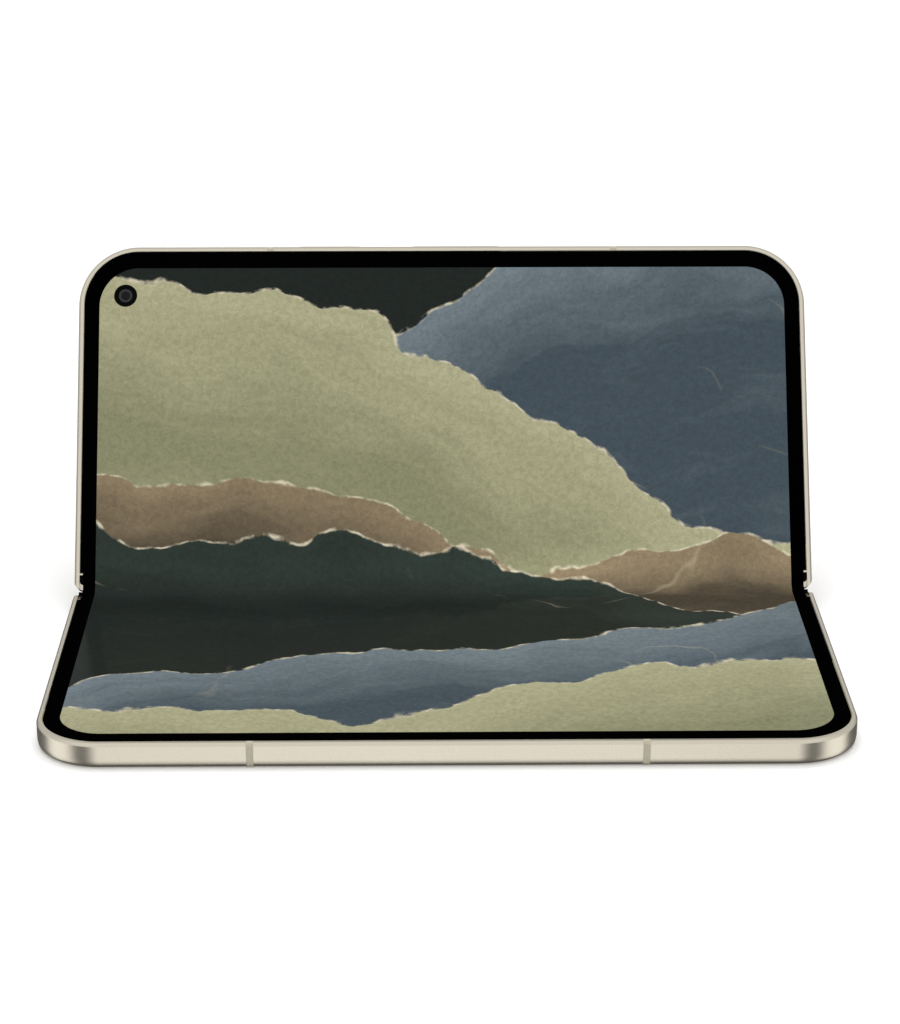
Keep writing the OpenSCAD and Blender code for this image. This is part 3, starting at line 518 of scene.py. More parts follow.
# %% [markdown]
# ## Glass
#
# The outer glass is black and polished, because the screen behind it is off, and the rear
# glass is etched so that it glows softly in the rim's tone. Neither shows anything behind it,
# so both are opaque with a clear coat, which is how such a back is really built: paint under
# glass. The lens windows could be see-through, but what lies behind them is black, so a dark
# body under a strong clear coat looks the same and has no rays to trace.

# %% Glasses
black_glass = finish(
    "black_glass", srgb(10, 10, 12), srgb(14, 14, 17), roughness=0.08, spread=0.015, grain=2.0,
    drift=30, bump=0.0005, Coat_Weight=0.6, Coat_Roughness=0.03,
)
frosted_glass = finish(
    "frosted_glass", srgb(214, 207, 187), srgb(207, 200, 179), roughness=0.44, spread=0.04,
    grain=0.05, drift=45, bump=0.0015, Coat_Weight=0.25, Coat_Roughness=0.3,
)
lens_glass = finish(
    "lens_glass", srgb(16, 18, 24), srgb(22, 24, 34), roughness=0.04, spread=0.01, grain=1.0,
    drift=4, bump=0.0003, Coat_Weight=1.0, Coat_Roughness=0.02,
)
eye_glass = finish(
    "eye_glass", srgb(13, 13, 18), srgb(20, 20, 28), roughness=0.12, spread=0.02, grain=0.5,
    drift=2, bump=0.0004, Specular_IOR_Level=0.12,
)
flash_lens = finish(
    "flash_lens", srgb(246, 238, 196), srgb(236, 222, 164), roughness=0.16, spread=0.04,
    grain=0.3, drift=1.2, bump=0.01, Coat_Weight=0.8, Coat_Roughness=0.05,
)

# %% [markdown]
# ## The picture on the screen
#
# The screen is lit, so its picture is an emission colour over a black, glossy surface. The
# picture is a plain design of layered ribbons: each ribbon lies behind a wavy line, is
# brightest along that line and fades away from it, and has a thin pale thread on its edge.
# A node group draws one ribbon and is used for each of them with its own numbers.
#
# Over the ribbons lie fine grain and a few broken pale veins, and a painted highlight above
# the crease and painted shade below it mark the bend. The pattern follows the flexible sheet,
# so it reads the sheet's own UV map, made with the sheet further down. The Mapping node turns
# it into millimetres.

# %% A ribbon as a node group
EDGE_WOBBLE, EDGE_SHARPNESS = 22.0, 4.0
STREAK_ALONG, STREAK_ACROSS, STREAK_STRENGTH = 0.35, 1.6, 0.9
THREAD = srgb(214, 205, 180)


def build_ribbon():
    group = new_group(
        "ribbon",
        [
            ("Vector", VECTOR, None), ("Below", COLOR, None), ("Near", COLOR, None),
            ("Far", COLOR, None), ("Level", FLOAT, 0.0), ("Slope", FLOAT, 0.0),
            ("Swing", FLOAT, 8.0), ("Wave", FLOAT, 60.0), ("Phase", FLOAT, 0.0),
            ("Fade", FLOAT, 30.0), ("Thread", FLOAT, 0.5),
        ],
        [("Color", COLOR)],
    )
    into = node(group, "NodeGroupInput", (-1500, 0))
    out = node(group, "NodeGroupOutput", (900, 0))
    get = into.outputs
    split = node(group, "ShaderNodeSeparateXYZ", (-1300, 200))
    group.links.new(get["Vector"], split.inputs[0])
    x, y = split.outputs[0], split.outputs[1]

    # Height of the line: a level, a slope, one slow swing and some noise.
    turns = math_node(group, "DIVIDE", (-1100, 300), x, get["Wave"])
    phase = math_node(group, "ADD", (-950, 300), turns, get["Phase"])
    swing = math_node(group, "SINE", (-800, 300), phase)
    swing = math_node(group, "MULTIPLY", (-650, 300), swing, get["Swing"])
    rise = math_node(group, "MULTIPLY", (-950, 120), x, get["Slope"])
    line = math_node(group, "ADD", (-500, 260), swing, rise)
    line = math_node(group, "ADD", (-350, 260), line, get["Level"])
    ripple = node(group, "ShaderNodeTexNoise", (-1100, -60), i_Scale=0.045, i_Detail=5.0)
    ripple.inputs["Roughness"].default_value = 0.42
    shift = node(group, "ShaderNodeVectorMath", (-1300, -60), operation="ADD")
    group.links.new(get["Vector"], shift.inputs[0])
    group.links.new(get["Level"], shift.inputs[1])
    group.links.new(shift.outputs[0], ripple.inputs["Vector"])
    wobble = math_node(group, "SUBTRACT", (-900, -60), ripple.outputs["Fac"], 0.5)
    wobble = math_node(group, "MULTIPLY", (-750, -60), wobble, EDGE_WOBBLE)
    line = math_node(group, "ADD", (-200, 200), line, wobble)
    depth = math_node(group, "SUBTRACT", (-50, 200), line, y)

    # Inside the ribbon the colour runs from near to far, streaked along the wave.
    inside = math_node(group, "MULTIPLY", (100, 300), depth, EDGE_SHARPNESS, clamp=True)
    fade = math_node(group, "DIVIDE", (100, 120), depth, get["Fade"], clamp=True)
    streaks = node(group, "ShaderNodeTexNoise", (-350, -260), i_Scale=0.11, i_Detail=7.0)
    streaks.inputs["Roughness"].default_value = 0.6
    streaks.inputs["Distortion"].default_value = 0.6
    comb = node(group, "ShaderNodeCombineXYZ", (-520, -260))
    along = math_node(group, "MULTIPLY", (-700, -220), x, STREAK_ALONG)
    across = math_node(group, "MULTIPLY", (-700, -360), depth, STREAK_ACROSS)
    group.links.new(along, comb.inputs[0])
    group.links.new(across, comb.inputs[1])
    group.links.new(get["Level"], comb.inputs[2])
    group.links.new(comb.outputs[0], streaks.inputs["Vector"])
    grain = math_node(group, "SUBTRACT", (-150, -260), streaks.outputs["Fac"], 0.5)
    grain = math_node(group, "MULTIPLY", (0, -260), grain, STREAK_STRENGTH)
    fade = math_node(group, "ADD", (260, 60), fade, grain, clamp=True)
    body = colour_mix(group, (420, 80), fade, (1, 1, 1, 1), (0, 0, 0, 1))
    mix = body.node
    group.links.new(get["Near"], mix.inputs[6])
    group.links.new(get["Far"], mix.inputs[7])
    whole_colour = colour_mix(group, (600, 0), inside, (0, 0, 0, 1), body)
    group.links.new(get["Below"], whole_colour.node.inputs[6])

    # The thread is a thin pale line that comes and goes along the edge.
    off = math_node(group, "ABSOLUTE", (100, -420), depth)
    thin = math_node(group, "DIVIDE", (260, -420), off, get["Thread"])
    thin = math_node(group, "SUBTRACT", (420, -420), 1.0, thin, clamp=True)
    breaks = node(group, "ShaderNodeTexNoise", (100, -600), i_Scale=0.35, i_Detail=6.0)
    group.links.new(get["Vector"], breaks.inputs["Vector"])
    shown = node(group, "ShaderNodeMapRange", (260, -600), i_From_Min=0.42, i_From_Max=0.62)
    group.links.new(breaks.outputs["Fac"], shown.inputs["Value"])
    thin = math_node(group, "MULTIPLY", (600, -420), thin, shown.outputs["Result"])
    final = colour_mix(group, (760, -60), thin, whole_colour, THREAD)
    group.links.new(final, out.inputs["Color"])
    return group


ribbon = build_ribbon()

# %% [markdown]
# The ribbons are stacked from the back to the front. Their colours are sage, slate, a dark
# green close to black, and tan. The whole picture spans both halves, 155 by 150 mm.

# %% The lit screen
VEIN_LEVEL, VEIN_WIDTH, VEIN_STRENGTH = 0.455, 0.005, 0.32
VEIN = srgb(190, 180, 150)
SPECKS = [dict(scale=0.9, low=0.9, high=1.1), dict(scale=3.2, low=0.93, high=1.07)]
# The bend's lighter and darker bands are painted highlight and painted shade in the picture's emission.
BEND_BAND = 14.0
BEND_PAINTED_LIGHT = [(0.3, 0.42), (0.5, 0.5), (0.66, 0.62), (0.85, 0.52)]
GLASS_SHEEN = (0.1, 0.16)
SAGE_LIGHT, SAGE = srgb(170, 168, 134), srgb(134, 134, 104)
SLATE_LIGHT, SLATE = srgb(112, 124, 130), srgb(66, 78, 86)
DEEP_LIGHT, DEEP = srgb(44, 54, 48), srgb(30, 36, 33)
TAN_LIGHT, TAN = srgb(138, 122, 96), srgb(74, 66, 54)

RIBBONS = [
    dict(near=SLATE_LIGHT, far=SLATE, Level=60, Slope=0.25, Swing=9, Wave=31, Phase=0.4, Fade=26),
    dict(near=SAGE_LIGHT, far=SAGE, Level=44, Slope=-0.42, Swing=7, Wave=24, Phase=2.1, Fade=34),
    dict(near=TAN_LIGHT, far=TAN, Level=14, Slope=-0.12, Swing=6, Wave=19, Phase=4.0, Fade=16),
    dict(near=DEEP_LIGHT, far=DEEP, Level=2, Slope=-0.3, Swing=9, Wave=27, Phase=1.0, Fade=20),
    dict(near=SLATE_LIGHT, far=SLATE, Level=-30, Slope=0.34, Swing=8, Wave=29, Phase=3.2, Fade=24),
    dict(near=SAGE_LIGHT, far=SAGE, Level=-52, Slope=0.16, Swing=6, Wave=22, Phase=5.2, Fade=30),
]


def build_screen():
    material = bpy.data.materials.new("screen")
    material.use_nodes = True
    tree = material.node_tree
    shader = tree.nodes["Principled BSDF"]
    uv = node(tree, "ShaderNodeUVMap", (-2200, 0), uv_map="sheet")
    flat = node(tree, "ShaderNodeMapping", (-2000, 0))
    flat.inputs["Location"].default_value = (-half_w, -leaf_len, 0)
    flat.inputs["Scale"].default_value = (2 * half_w, 2 * leaf_len, 1)
    tree.links.new(uv.outputs["UV"], flat.inputs["Vector"])
    colour = DEEP
    for index, values in enumerate(RIBBONS):
        layer = node(tree, "ShaderNodeGroup", (-1700 + 240 * index, 0), node_tree=ribbon)
        tree.links.new(flat.outputs["Vector"], layer.inputs["Vector"])
        if isinstance(colour, bpy.types.NodeSocket):
            tree.links.new(colour, layer.inputs["Below"])
        else:
            layer.inputs["Below"].default_value = colour
        for key, value in values.items():
            layer.inputs[key.capitalize()].default_value = value
        colour = layer.outputs["Color"]

    # Fine grain over the whole picture, and broken pale veins.
    for index, speckle in enumerate(SPECKS):
        row = 500 - 250 * index
        speck = node(tree, "ShaderNodeTexNoise", (-500, row), i_Scale=speckle["scale"],
                     i_Detail=6.0)
        speck.inputs["Distortion"].default_value = 0.8
        tree.links.new(flat.outputs["Vector"], speck.inputs["Vector"])
        tone = node(tree, "ShaderNodeMapRange", (-300, row), i_From_Min=0.35, i_From_Max=0.65)
        tone.inputs["To Min"].default_value = speckle["low"]
        tone.inputs["To Max"].default_value = speckle["high"]
        tree.links.new(speck.outputs["Fac"], tone.inputs["Value"])
        shade = node(tree, "ShaderNodeVectorMath", (-100, row), operation="SCALE")
        tree.links.new(colour, shade.inputs[0])
        tree.links.new(tone.outputs["Result"], shade.inputs["Scale"])
        colour = shade.outputs[0]
    vein = node(tree, "ShaderNodeTexNoise", (-500, 900), i_Scale=0.022, i_Detail=4.0)
    vein.inputs["Roughness"].default_value = 0.35
    vein.inputs["Distortion"].default_value = 0.3
    tree.links.new(flat.outputs["Vector"], vein.inputs["Vector"])
    off = math_node(tree, "SUBTRACT", (-340, 900), vein.outputs["Fac"], VEIN_LEVEL)
    off = math_node(tree, "ABSOLUTE", (-200, 900), off)
    thin = math_node(tree, "DIVIDE", (-60, 900), off, VEIN_WIDTH)
    thin = math_node(tree, "SUBTRACT", (80, 900), 1.0, thin, clamp=True)
    patch = node(tree, "ShaderNodeTexNoise", (-500, 1200), i_Scale=0.03, i_Detail=3.0)
    tree.links.new(flat.outputs["Vector"], patch.inputs["Vector"])
    shown = node(tree, "ShaderNodeMapRange", (-300, 1200), i_From_Min=0.5, i_From_Max=0.62)
    shown.inputs["To Max"].default_value = VEIN_STRENGTH
    tree.links.new(patch.outputs["Fac"], shown.inputs["Value"])
    thin = math_node(tree, "MULTIPLY", (220, 900), thin, shown.outputs["Result"])
    colour = colour_mix(tree, (360, 700), thin, (0, 0, 0, 1), VEIN)
    tree.links.new(shade.outputs[0], colour.node.inputs[6])

    # The bend is painted into the picture: a painted highlight above the crease and painted shade below it.
    rows = node(tree, "ShaderNodeSeparateXYZ", (-500, -800))
    tree.links.new(flat.outputs["Vector"], rows.inputs[0])
    glow = node(tree, "ShaderNodeFloatCurve", (-100, -800))
    near = node(tree, "ShaderNodeMapRange", (-300, -800))
    near.inputs["From Min"].default_value = -BEND_BAND
    near.inputs["From Max"].default_value = BEND_BAND
    tree.links.new(rows.outputs[1], near.inputs["Value"])
    tree.links.new(near.outputs["Result"], glow.inputs["Value"])
    curve = glow.mapping.curves[0]
    curve.points[0].location = (0.0, 0.5)
    curve.points[1].location = (1.0, 0.5)
    for place in BEND_PAINTED_LIGHT:
        curve.points.new(*place)
    glow.mapping.update()
    twice = math_node(tree, "MULTIPLY", (100, -800), glow.outputs[0], 2.0)
    lit = node(tree, "ShaderNodeVectorMath", (560, 500), operation="SCALE")
    tree.links.new(colour, lit.inputs[0])
    tree.links.new(twice, lit.inputs["Scale"])
    tree.links.new(lit.outputs[0], shader.inputs["Emission Color"])

    # Under the light it gives, the sheet is black and glossy, with faint smudges.
    smudge = node(tree, "ShaderNodeTexNoise", (-500, -400), i_Scale=0.03, i_Detail=4.0)
    tree.links.new(flat.outputs["Vector"], smudge.inputs["Vector"])
    rough = node(tree, "ShaderNodeMapRange", (-300, -400))
    rough.inputs["To Min"].default_value = GLASS_SHEEN[0]
    rough.inputs["To Max"].default_value = GLASS_SHEEN[1]
    tree.links.new(smudge.outputs["Fac"], rough.inputs["Value"])
    tree.links.new(rough.outputs["Result"], shader.inputs["Roughness"])
    shader.inputs["Base Color"].default_value = (0.004, 0.004, 0.004, 1)
    shader.inputs["Specular IOR Level"].default_value = 0.02
    shader.inputs["Emission Strength"].default_value = 1.0
    return material


screen = build_screen()
print("screen picture has", len(RIBBONS), "ribbons")

# %% [markdown]
# ## The metal rims
#
# A thin aluminium wall runs round three sides of each half. On the real phone it is milled
# from one block, blasted, and anodised. Its section is nearly upright with a small bevel at
# the screen and a longer round towards the table, and that section is the whole look: it
# decides where the bright and the dark lines run.
#
# The rim could be a beveled curve, but a section face that is spun and pushed along keeps
# full control. The bars stop where the plastic antenna bands sit between them.

# %% The rim's section and path
RIM_SECTION = [
    # distance inward from the outside, height, rounding
    (glass_inset, 0, 0), (0.8, 0, 0.15), (0.2, 1.3 / 3, 0.32), (0, 1.3, 0.42),
    (0, leaf_t - 0.62, 0.14), (0.45, leaf_t - 0.03, 0.12), (lip_w, leaf_t, 0.06),
    (lip_w, panel_low, 0), (side_wall, panel_low, 0), (side_wall, glass_seat, 0),
    (glass_inset, glass_seat, 0),
]
TURN = "turn"


def right_of(heading):
    return Vector((heading.y, -heading.x, 0))


def rim_bar(at, heading, legs):
    """Carries the rim's section along straight legs and quarter turns to the right."""
    bm = bmesh.new()
    at, heading = Vector(at), Vector(heading)
    inward = right_of(heading)
    corners = [bm.verts.new(at + inward * d + Vector((0, 0, z))) for d, z, _ in RIM_SECTION]
    bm.faces.new(corners)
    for corner, (_, _, rounding) in zip(corners, RIM_SECTION):
        if rounding:
            bmesh.ops.bevel(
                bm, geom=[corner], offset=rounding, offset_type="OFFSET", segments=4,
                profile=0.5, affect="VERTICES", clamp_overlap=True, material=-1,
            )
    edges = bm.edges[:]
    for leg in legs:
        if leg == TURN:
            centre = at + inward * corner_r
            step = bmesh.ops.spin(
                bm, geom=edges, cent=centre, axis=(0, 0, -1), dvec=(0, 0, 0),
                angle=math.pi / 2, steps=CORNER_STEPS, use_merge=False, use_duplicate=False,
            )
            heading, inward = inward, right_of(inward)
            at = centre - inward * corner_r
        else:
            step = bmesh.ops.spin(
                bm, geom=edges, cent=(0, 0, 0), axis=(0, 0, 1), dvec=heading * leg,
                angle=0, steps=1, use_merge=False, use_duplicate=False,
            )
            at = at + heading * leg
        edges = [g for g in step["geom_last"] if isinstance(g, bmesh.types.BMEdge)]
    bmesh.ops.edgeloop_fill(bm, edges=edges)
    bmesh.ops.recalc_face_normals(bm, faces=bm.faces)
    return bm


BAND_SEAM = 0.02
RIM_START = 0.2
side_leg = leaf_len - corner_r - RIM_START
corner_leg = half_w - corner_r - band_x - band_w / 2 - BAND_SEAM


def leaf_rim():
    """Two corner bars and the bar between the antenna bands."""
    left = rim_bar((-half_w, RIM_START, 0), (0, 1, 0), [side_leg, TURN, corner_leg])
    middle_start = -band_x + band_w / 2 + BAND_SEAM
    middle = rim_bar((middle_start, leaf_len, 0), (1, 0, 0), [-2 * middle_start])
    right_start = band_x + band_w / 2 + BAND_SEAM
    right = rim_bar((right_start, leaf_len, 0), (1, 0, 0), [corner_leg, TURN, side_leg])
    return joined([left, middle, right])


def leaf_bands():
    return joined([
        rim_bar((x - band_w / 2, leaf_len, 0), (1, 0, 0), [band_w]) for x in (-band_x, band_x)
    ])


# %% [markdown]
# Beside the hinge the walls end. Seen from the side, each end is rounded at the outer face,
# and the lower half's end also at the top, so that the two turn past each other. Seen from
# above, the outer corner is round too, the bright lip stops in a small step, and from there a
# groove runs between the wall and the screen. A black strip fills it as painted shade, where
# shade falls in the notch. These shapes are kept or cut with prisms, which is easier to follow
# than moving single points of the rim.

# %% Trim the wall ends
END_ROUND_LOW = 1.3
END_ROUND_TOP = {"cover": 1.6, "main": 0.12}
PAST_LEAF = 5


def rounded_polygon(bm, corners, segments=12):
    """A face whose corners are given as (place, rounding)."""
    verts = [bm.verts.new(place) for place, _ in corners]
    bm.faces.new(verts)
    for vert, (_, rounding) in zip(verts, corners):
        if rounding:
            bmesh.ops.bevel(
                bm, geom=[vert], offset=rounding, offset_type="OFFSET", segments=segments,
                profile=0.5, affect="VERTICES", clamp_overlap=False, material=-1,
            )
    return bm


def wall_keeper(top_round):
    """A long prism along the hinge: the walls are kept only inside it."""
    far, side = leaf_len + PAST_LEAF, -half_w - PAST_LEAF
    bm = rounded_polygon(bmesh.new(), [
        ((side, wall_end, 0), END_ROUND_LOW), ((side, far, -1), 0), ((side, far, leaf_t + 1), 0),
        ((side, wall_end + 3, leaf_t + 1), 0), ((side, wall_end + 3, leaf_t), 0),
        ((side, wall_end, leaf_t), top_round),
    ])
    return pushed(bm, (2 * (half_w + PAST_LEAF), 0, 0))


def corner_keeper():
    """The outline of the leaf with its two corners beside the hinge rounded."""
    far = leaf_len + PAST_LEAF
    bm = rounded_polygon(bmesh.new(), [
        ((-half_w, wall_end, -2), side_wall), ((half_w, wall_end, -2), side_wall),
        ((half_w, far, -2), 0), ((-half_w, far, -2), 0),
    ])
    return pushed(bm, (0, 0, leaf_t + 4))


# The black strip in the groove is painted shade: a dark fill where shade falls beside the hinge.
SHADE_FILL_TOP = 4.55
SHADE_FILL_GAP, SHADE_FILL_LIFT = 0.04, 0.02


def groove_prisms(margin, low, height=leaf_t):
    """The slot between wall and screen, from the end's round to the lip's step."""
    sides = []
    start = wall_end + lip_w + margin
    for way in (-1, 1):
        inner = way * (inner_x - (screen_gap if margin else 1))
        outer = way * (half_w - lip_w - margin)
        sides.append(pushed(rounded_polygon(bmesh.new(), [
            ((inner, start, low), 0), ((outer, start, low), side_wall - lip_w - margin),
            ((outer, lip_end - margin, low), 0), ((inner, lip_end - margin, low), 0),
        ]), (0, 0, height)))
    return joined(sides)


def lip_steps():
    """Small blocks in which the lip ends."""
    low, high = panel_low - 0.1, leaf_t - 0.02
    steps = []
    for way in (-1, 1):
        a, b = sorted((way * inner_x, way * (half_w - lip_w + 0.05)))
        steps.append(block((a, lip_end, low), (b, lip_end + lip_step, high)))
    return joined(steps)


def towards_side(bm, x, y, z):
    """Turns a prism drawn standing up so that it points along +x from a place in the wall."""
    lie = Matrix.Rotation(math.pi / 2, 4, "Z") @ Matrix.Rotation(math.pi / 2, 4, "X")
    return moved(bm, Matrix.Translation((x, y, z)) @ lie)


def towards_far(bm, x, y, z):
    """Turns a prism drawn standing up so that it points along +y."""
    return moved(bm, Matrix.Translation((x, y, z)) @ Matrix.Rotation(-math.pi / 2, 4, "X"))


# %% Keys and openings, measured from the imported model
def middle_of(box):
    return (box[0] + box[1]) / 2


def leaf_box(name, leaf):
    """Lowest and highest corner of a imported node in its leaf's flat frame."""
    mesh = frame["nodes"][name].data
    points = [leaf.inverted() @ (v.co / MM) for v in mesh.vertices]
    low = Vector([min(p[i] for p in points) for i in range(3)])
    high = Vector([max(p[i] for p in points) for i in range(3)])
    return low, high


KEY_H = 1.9
KEY_GAP = 0.08
KEY_FLANGE = 0.6
key_boxes = {name: leaf_box(name, main_leaf) for name in ("power_key", "volume_key")}
key_z = middle_of(key_boxes["power_key"]).z
usb_box = leaf_box("usb_shell", main_leaf)
usb_mid = middle_of(usb_box)
USB_W, USB_H = 8.34, 2.56
tray_box = leaf_box("sim_tray", cover_leaf)
TRAY_W, TRAY_H = 14.0, 1.2
tray_mid = Vector((tray_box[1].x, tray_box[1].y - TRAY_W / 2, (tray_box[0].z + tray_box[1].z) / 2))
speaker_box = leaf_box("loudspeaker", main_leaf)
SPEAKER_R, SPEAKER_PITCH, SPEAKERS = 0.6, 2.2, 4
SPEAKER_MARGIN = 2
speaker_start = speaker_box[0].y + SPEAKER_MARGIN
SOUND_Z = 2.4
MIC_R = 0.5
MIC_FROM_PORT, MIC_FROM_FAR = 13.1, 27.4
SLOT_FROM_FAR, SLOT_W = 18.1, 3
for name, (low, high) in key_boxes.items():
    print(name, "from", round(low.x, 2), "to", round(high.x, 2))
print("tray at", round(tray_mid.y, 2), "port at", round(usb_mid.y, 2))

# %% Build the rims
CUT_PAST = 0.8
WALL_DEPTH = side_wall + 2 * CUT_PAST


def side_hole(width, height, y, z, side=1):
    """A pill-shaped cutter through one side wall."""
    bm = prism(width, height, height / 2, WALL_DEPTH)
    start = half_w - side_wall - CUT_PAST if side > 0 else -half_w - CUT_PAST
    return towards_side(bm, start, y, z)


def key_slot(name):
    """A cutter for one key's opening in the far wall."""
    low, high = key_boxes[name]
    width = high.x - low.x - 2 * KEY_FLANGE + 2 * KEY_GAP
    height = KEY_H + 2 * KEY_GAP
    bm = prism(width, height, height / 2, WALL_DEPTH)
    return towards_far(bm, (low.x + high.x) / 2, leaf_len - side_wall - CUT_PAST, key_z)


speakers = [
    side_hole(2 * SPEAKER_R, 2 * SPEAKER_R, speaker_start + i * SPEAKER_PITCH, SOUND_Z)
    for i in range(SPEAKERS)
]
main_cuts = joined([
    key_slot("power_key"), key_slot("volume_key"),
    side_hole(USB_W, USB_H, usb_mid.y, usb_mid.z),
    *speakers,
    side_hole(2 * MIC_R, 2 * MIC_R, usb_mid.y - MIC_FROM_PORT, SOUND_Z),
    side_hole(2 * MIC_R, 2 * MIC_R, leaf_len - MIC_FROM_FAR, SOUND_Z, side=-1),
    side_hole(SLOT_W, 2 * MIC_R, leaf_len - SLOT_FROM_FAR, SOUND_Z, side=-1),
])
TRAY_PLAY = 0.1
cover_cuts = side_hole(TRAY_W + TRAY_PLAY, TRAY_H + TRAY_PLAY, tray_mid.y, tray_mid.z)

for side, leaf, cuts in (("cover", cover_leaf, cover_cuts), ("main", main_leaf, main_cuts)):
    rim = carve(leaf_rim(), wall_keeper(END_ROUND_TOP[side]), "INTERSECT")
    rim = carve(rim, corner_keeper(), "INTERSECT")
    rim = carve(carve(carve(rim, groove_prisms(0, groove_low)), cuts), lip_steps(), "UNION")
    piece(rim, f"{side}_rim", leaf, f"{side}_half", satin_aluminium,
          replaces=[f"{side}_frame"])
    piece(leaf_bands(), f"{side}_bands", leaf, f"{side}_half", band_plastic,
          replaces=[f"{side}_antenna_bands"])
    # A black strip in the groove: painted shade.
    groove_shade = groove_prisms(SHADE_FILL_GAP, groove_low + SHADE_FILL_LIFT, SHADE_FILL_TOP - groove_low)
    piece(groove_shade, f"{side}_groove_painted_shade", leaf, f"{side}_half", black_and_painted_shade)

# %% [markdown]
# ## Inside the rims
#
# The frame's middle plate, its hinge trough and its screw posts are already right in the
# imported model. Only its outer wall is replaced, so the rest is cut out of a copy of that
# node: the copy's loose triangles are merged first, and a prism set in by the wall keeps
# what lies inside.

# %% Keep the inner part of each frame
def packed_copy(name):
    """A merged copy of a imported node, in millimetres."""
    bm = bmesh.new()
    bm.from_mesh(frame["nodes"][name].data)
    bmesh.ops.transform(bm, matrix=Matrix.Scale(1 / MM, 4), verts=bm.verts)
    bmesh.ops.remove_doubles(bm, verts=bm.verts, dist=2e-3)
    return bm


for side, leaf in (("cover", cover_leaf), ("main", main_leaf)):
    keep = moved(leaf_slab(side_wall + 0.01, 0.05, -1, leaf_t + 1), leaf)
    inner = carve(packed_copy(f"{side}_frame"), keep, "INTERSECT")
    piece(inner, f"{side}_inner_frame", Matrix.Identity(4), f"{side}_half", satin_aluminium,
          replaces=[f"{side}_frame"])

# %% [markdown]
# ## The keys
#
# Two keys stand a little out of the far edge: a short one and a long rocker. Each is a pill
# with a rounded face, on a flat flange behind the wall that keeps it in. The long edge round
# the face is beveled in four steps, which is enough for a clean highlight.

# %% Build the keys
KEY_SEAT, KEY_FLANGE_T, KEY_ROUND = 0.2, 0.4, 0.28


def key_piece(name):
    """One key: a rounded cap on the flange that keeps it in."""
    low, high = key_boxes[name]
    width = high.x - low.x - 2 * KEY_FLANGE
    height = high.y - low.y
    cap = prism(width, KEY_H, KEY_H / 2 - 0.01, height - KEY_SEAT)
    soften(cap, KEY_ROUND, at_height(height - KEY_SEAT), segments=4)
    cap = towards_far(cap, (low.x + high.x) / 2, low.y + KEY_SEAT, key_z)
    flange = block((low.x, low.y, low.z), (high.x, low.y + KEY_FLANGE_T, high.z))
    soften(flange, 0.08)
    return piece(joined([cap, flange]), f"{name}_cap", main_leaf, name, key_aluminium,
                 replaces=[name])


for name in key_boxes:
    key_piece(name)

# %% [markdown]
# ## The flexible screen
#
# One sheet covers both halves and bends over the hinge. A piece can bend only between two
# bodies that share a joint, so the sheet is made as two: one from the cover half to the
# spine's middle, one from there to the main half. They meet at the middle of the spine, where
# both have the same direction.
#
# Each is drawn flat and then bent once: a point turns about the hinge axis by its share of
# the fold, and the share grows smoothly from the start line to the end line. The rule reads
# the bent point, so the share is found by trying again until it settles.

# %% Bend a flat sheet to the rest pose
BEND_START = 1.175
BEND_TRIES = 60
spine_middle = (cover_axis + main_axis) / 2
bend_from = cover_axis - Vector((0, BEND_START, 0))
bend_way = spine_middle - bend_from
spine_axis_y = (main_axis - cover_axis).normalized()
flip = (
    Matrix.Translation(spine_middle) @ Matrix.Scale(-1, 4, spine_axis_y)
    @ Matrix.Translation(-spine_middle)
)


def bent_share(point):
    """How far along the bend a point is: 0 on the cover half, 1 on the spine."""
    t = min(1.0, max(0.0, (point - bend_from).dot(bend_way) / bend_way.length_squared))
    return t * t * (3 - 2 * t)


def bend_to_rest(flat):
    """Turns one flat point about the cover half's hinge axis by its own share of the fold."""
    centre = Vector((flat.x, cover_axis.y, cover_axis.z))
    share = bent_share(flat)
    for _ in range(BEND_TRIES):
        turned = centre + Matrix.Rotation(fold * share, 3, "X") @ (flat - centre)
        share = 0.5 * share + 0.5 * bent_share(turned)
    return turned


def slice_for_bend(bm, step=0.15, reach=4.8):
    """Adds cross cuts where the sheet will bend."""
    for i in range(1, int(reach / step)):
        bmesh.ops.bisect_plane(
            bm, geom=whole(bm), plane_co=(0, i * step, 0), plane_no=(0, 1, 0)
        )


def narrow_near_hinge(bm, limit, end=lip_end + lip_step + screen_gap):
    """Beside the hinge the lip ends, and the sheet steps in to clear the wall."""
    for place in (end, end - 0.05):
        bmesh.ops.bisect_plane(bm, geom=whole(bm), plane_co=(0, place, 0), plane_no=(0, 1, 0))
    for v in bm.verts:
        if v.co.y < end - 0.01 and abs(v.co.x) > limit:
            v.co.x = math.copysign(limit, v.co.x)


def bent_piece(bm, name, side, material, replaces):
    """Writes the sheet's own UV map and bends the sheet to the rest pose."""
    uv = bm.loops.layers.uv.new("sheet")
    way = -1 if side == "cover" else 1
    for face in bm.faces:
        for loop in face.loops:
            x, y = loop.vert.co.x, loop.vert.co.y
            loop[uv].uv = (0.5 + x / (2 * half_w), 0.5 + way * y / (2 * leaf_len))
    for v in bm.verts:
        v.co = bend_to_rest(cover_leaf @ v.co)
    place = Matrix.Identity(4) if side == "cover" else flip
    obj = piece(bm, name, place, None, material, replaces=replaces)
    if side == "cover":
        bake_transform(obj)
    else:
        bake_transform(obj)
    return obj


# %% Make the screen in two pieces
inner_cam = leaf_box("inner_camera", main_leaf)
inner_cam_mid = middle_of(inner_cam)
INNER_CAM_R = 2.5


def screen_sheet(side):
    bm = leaf_slab(lip_w + screen_gap, 0, panel_low, screen_top)
    if side == "main":
        hole = prism(2 * INNER_CAM_R, 2 * INNER_CAM_R, INNER_CAM_R, 3)
        at = Matrix.Translation((inner_cam_mid.x, inner_cam_mid.y, panel_low - 1))
        bm = carve(bm, moved(hole, at))
    slice_for_bend(bm)
    narrow_near_hinge(bm, inner_x - screen_gap)
    return bm


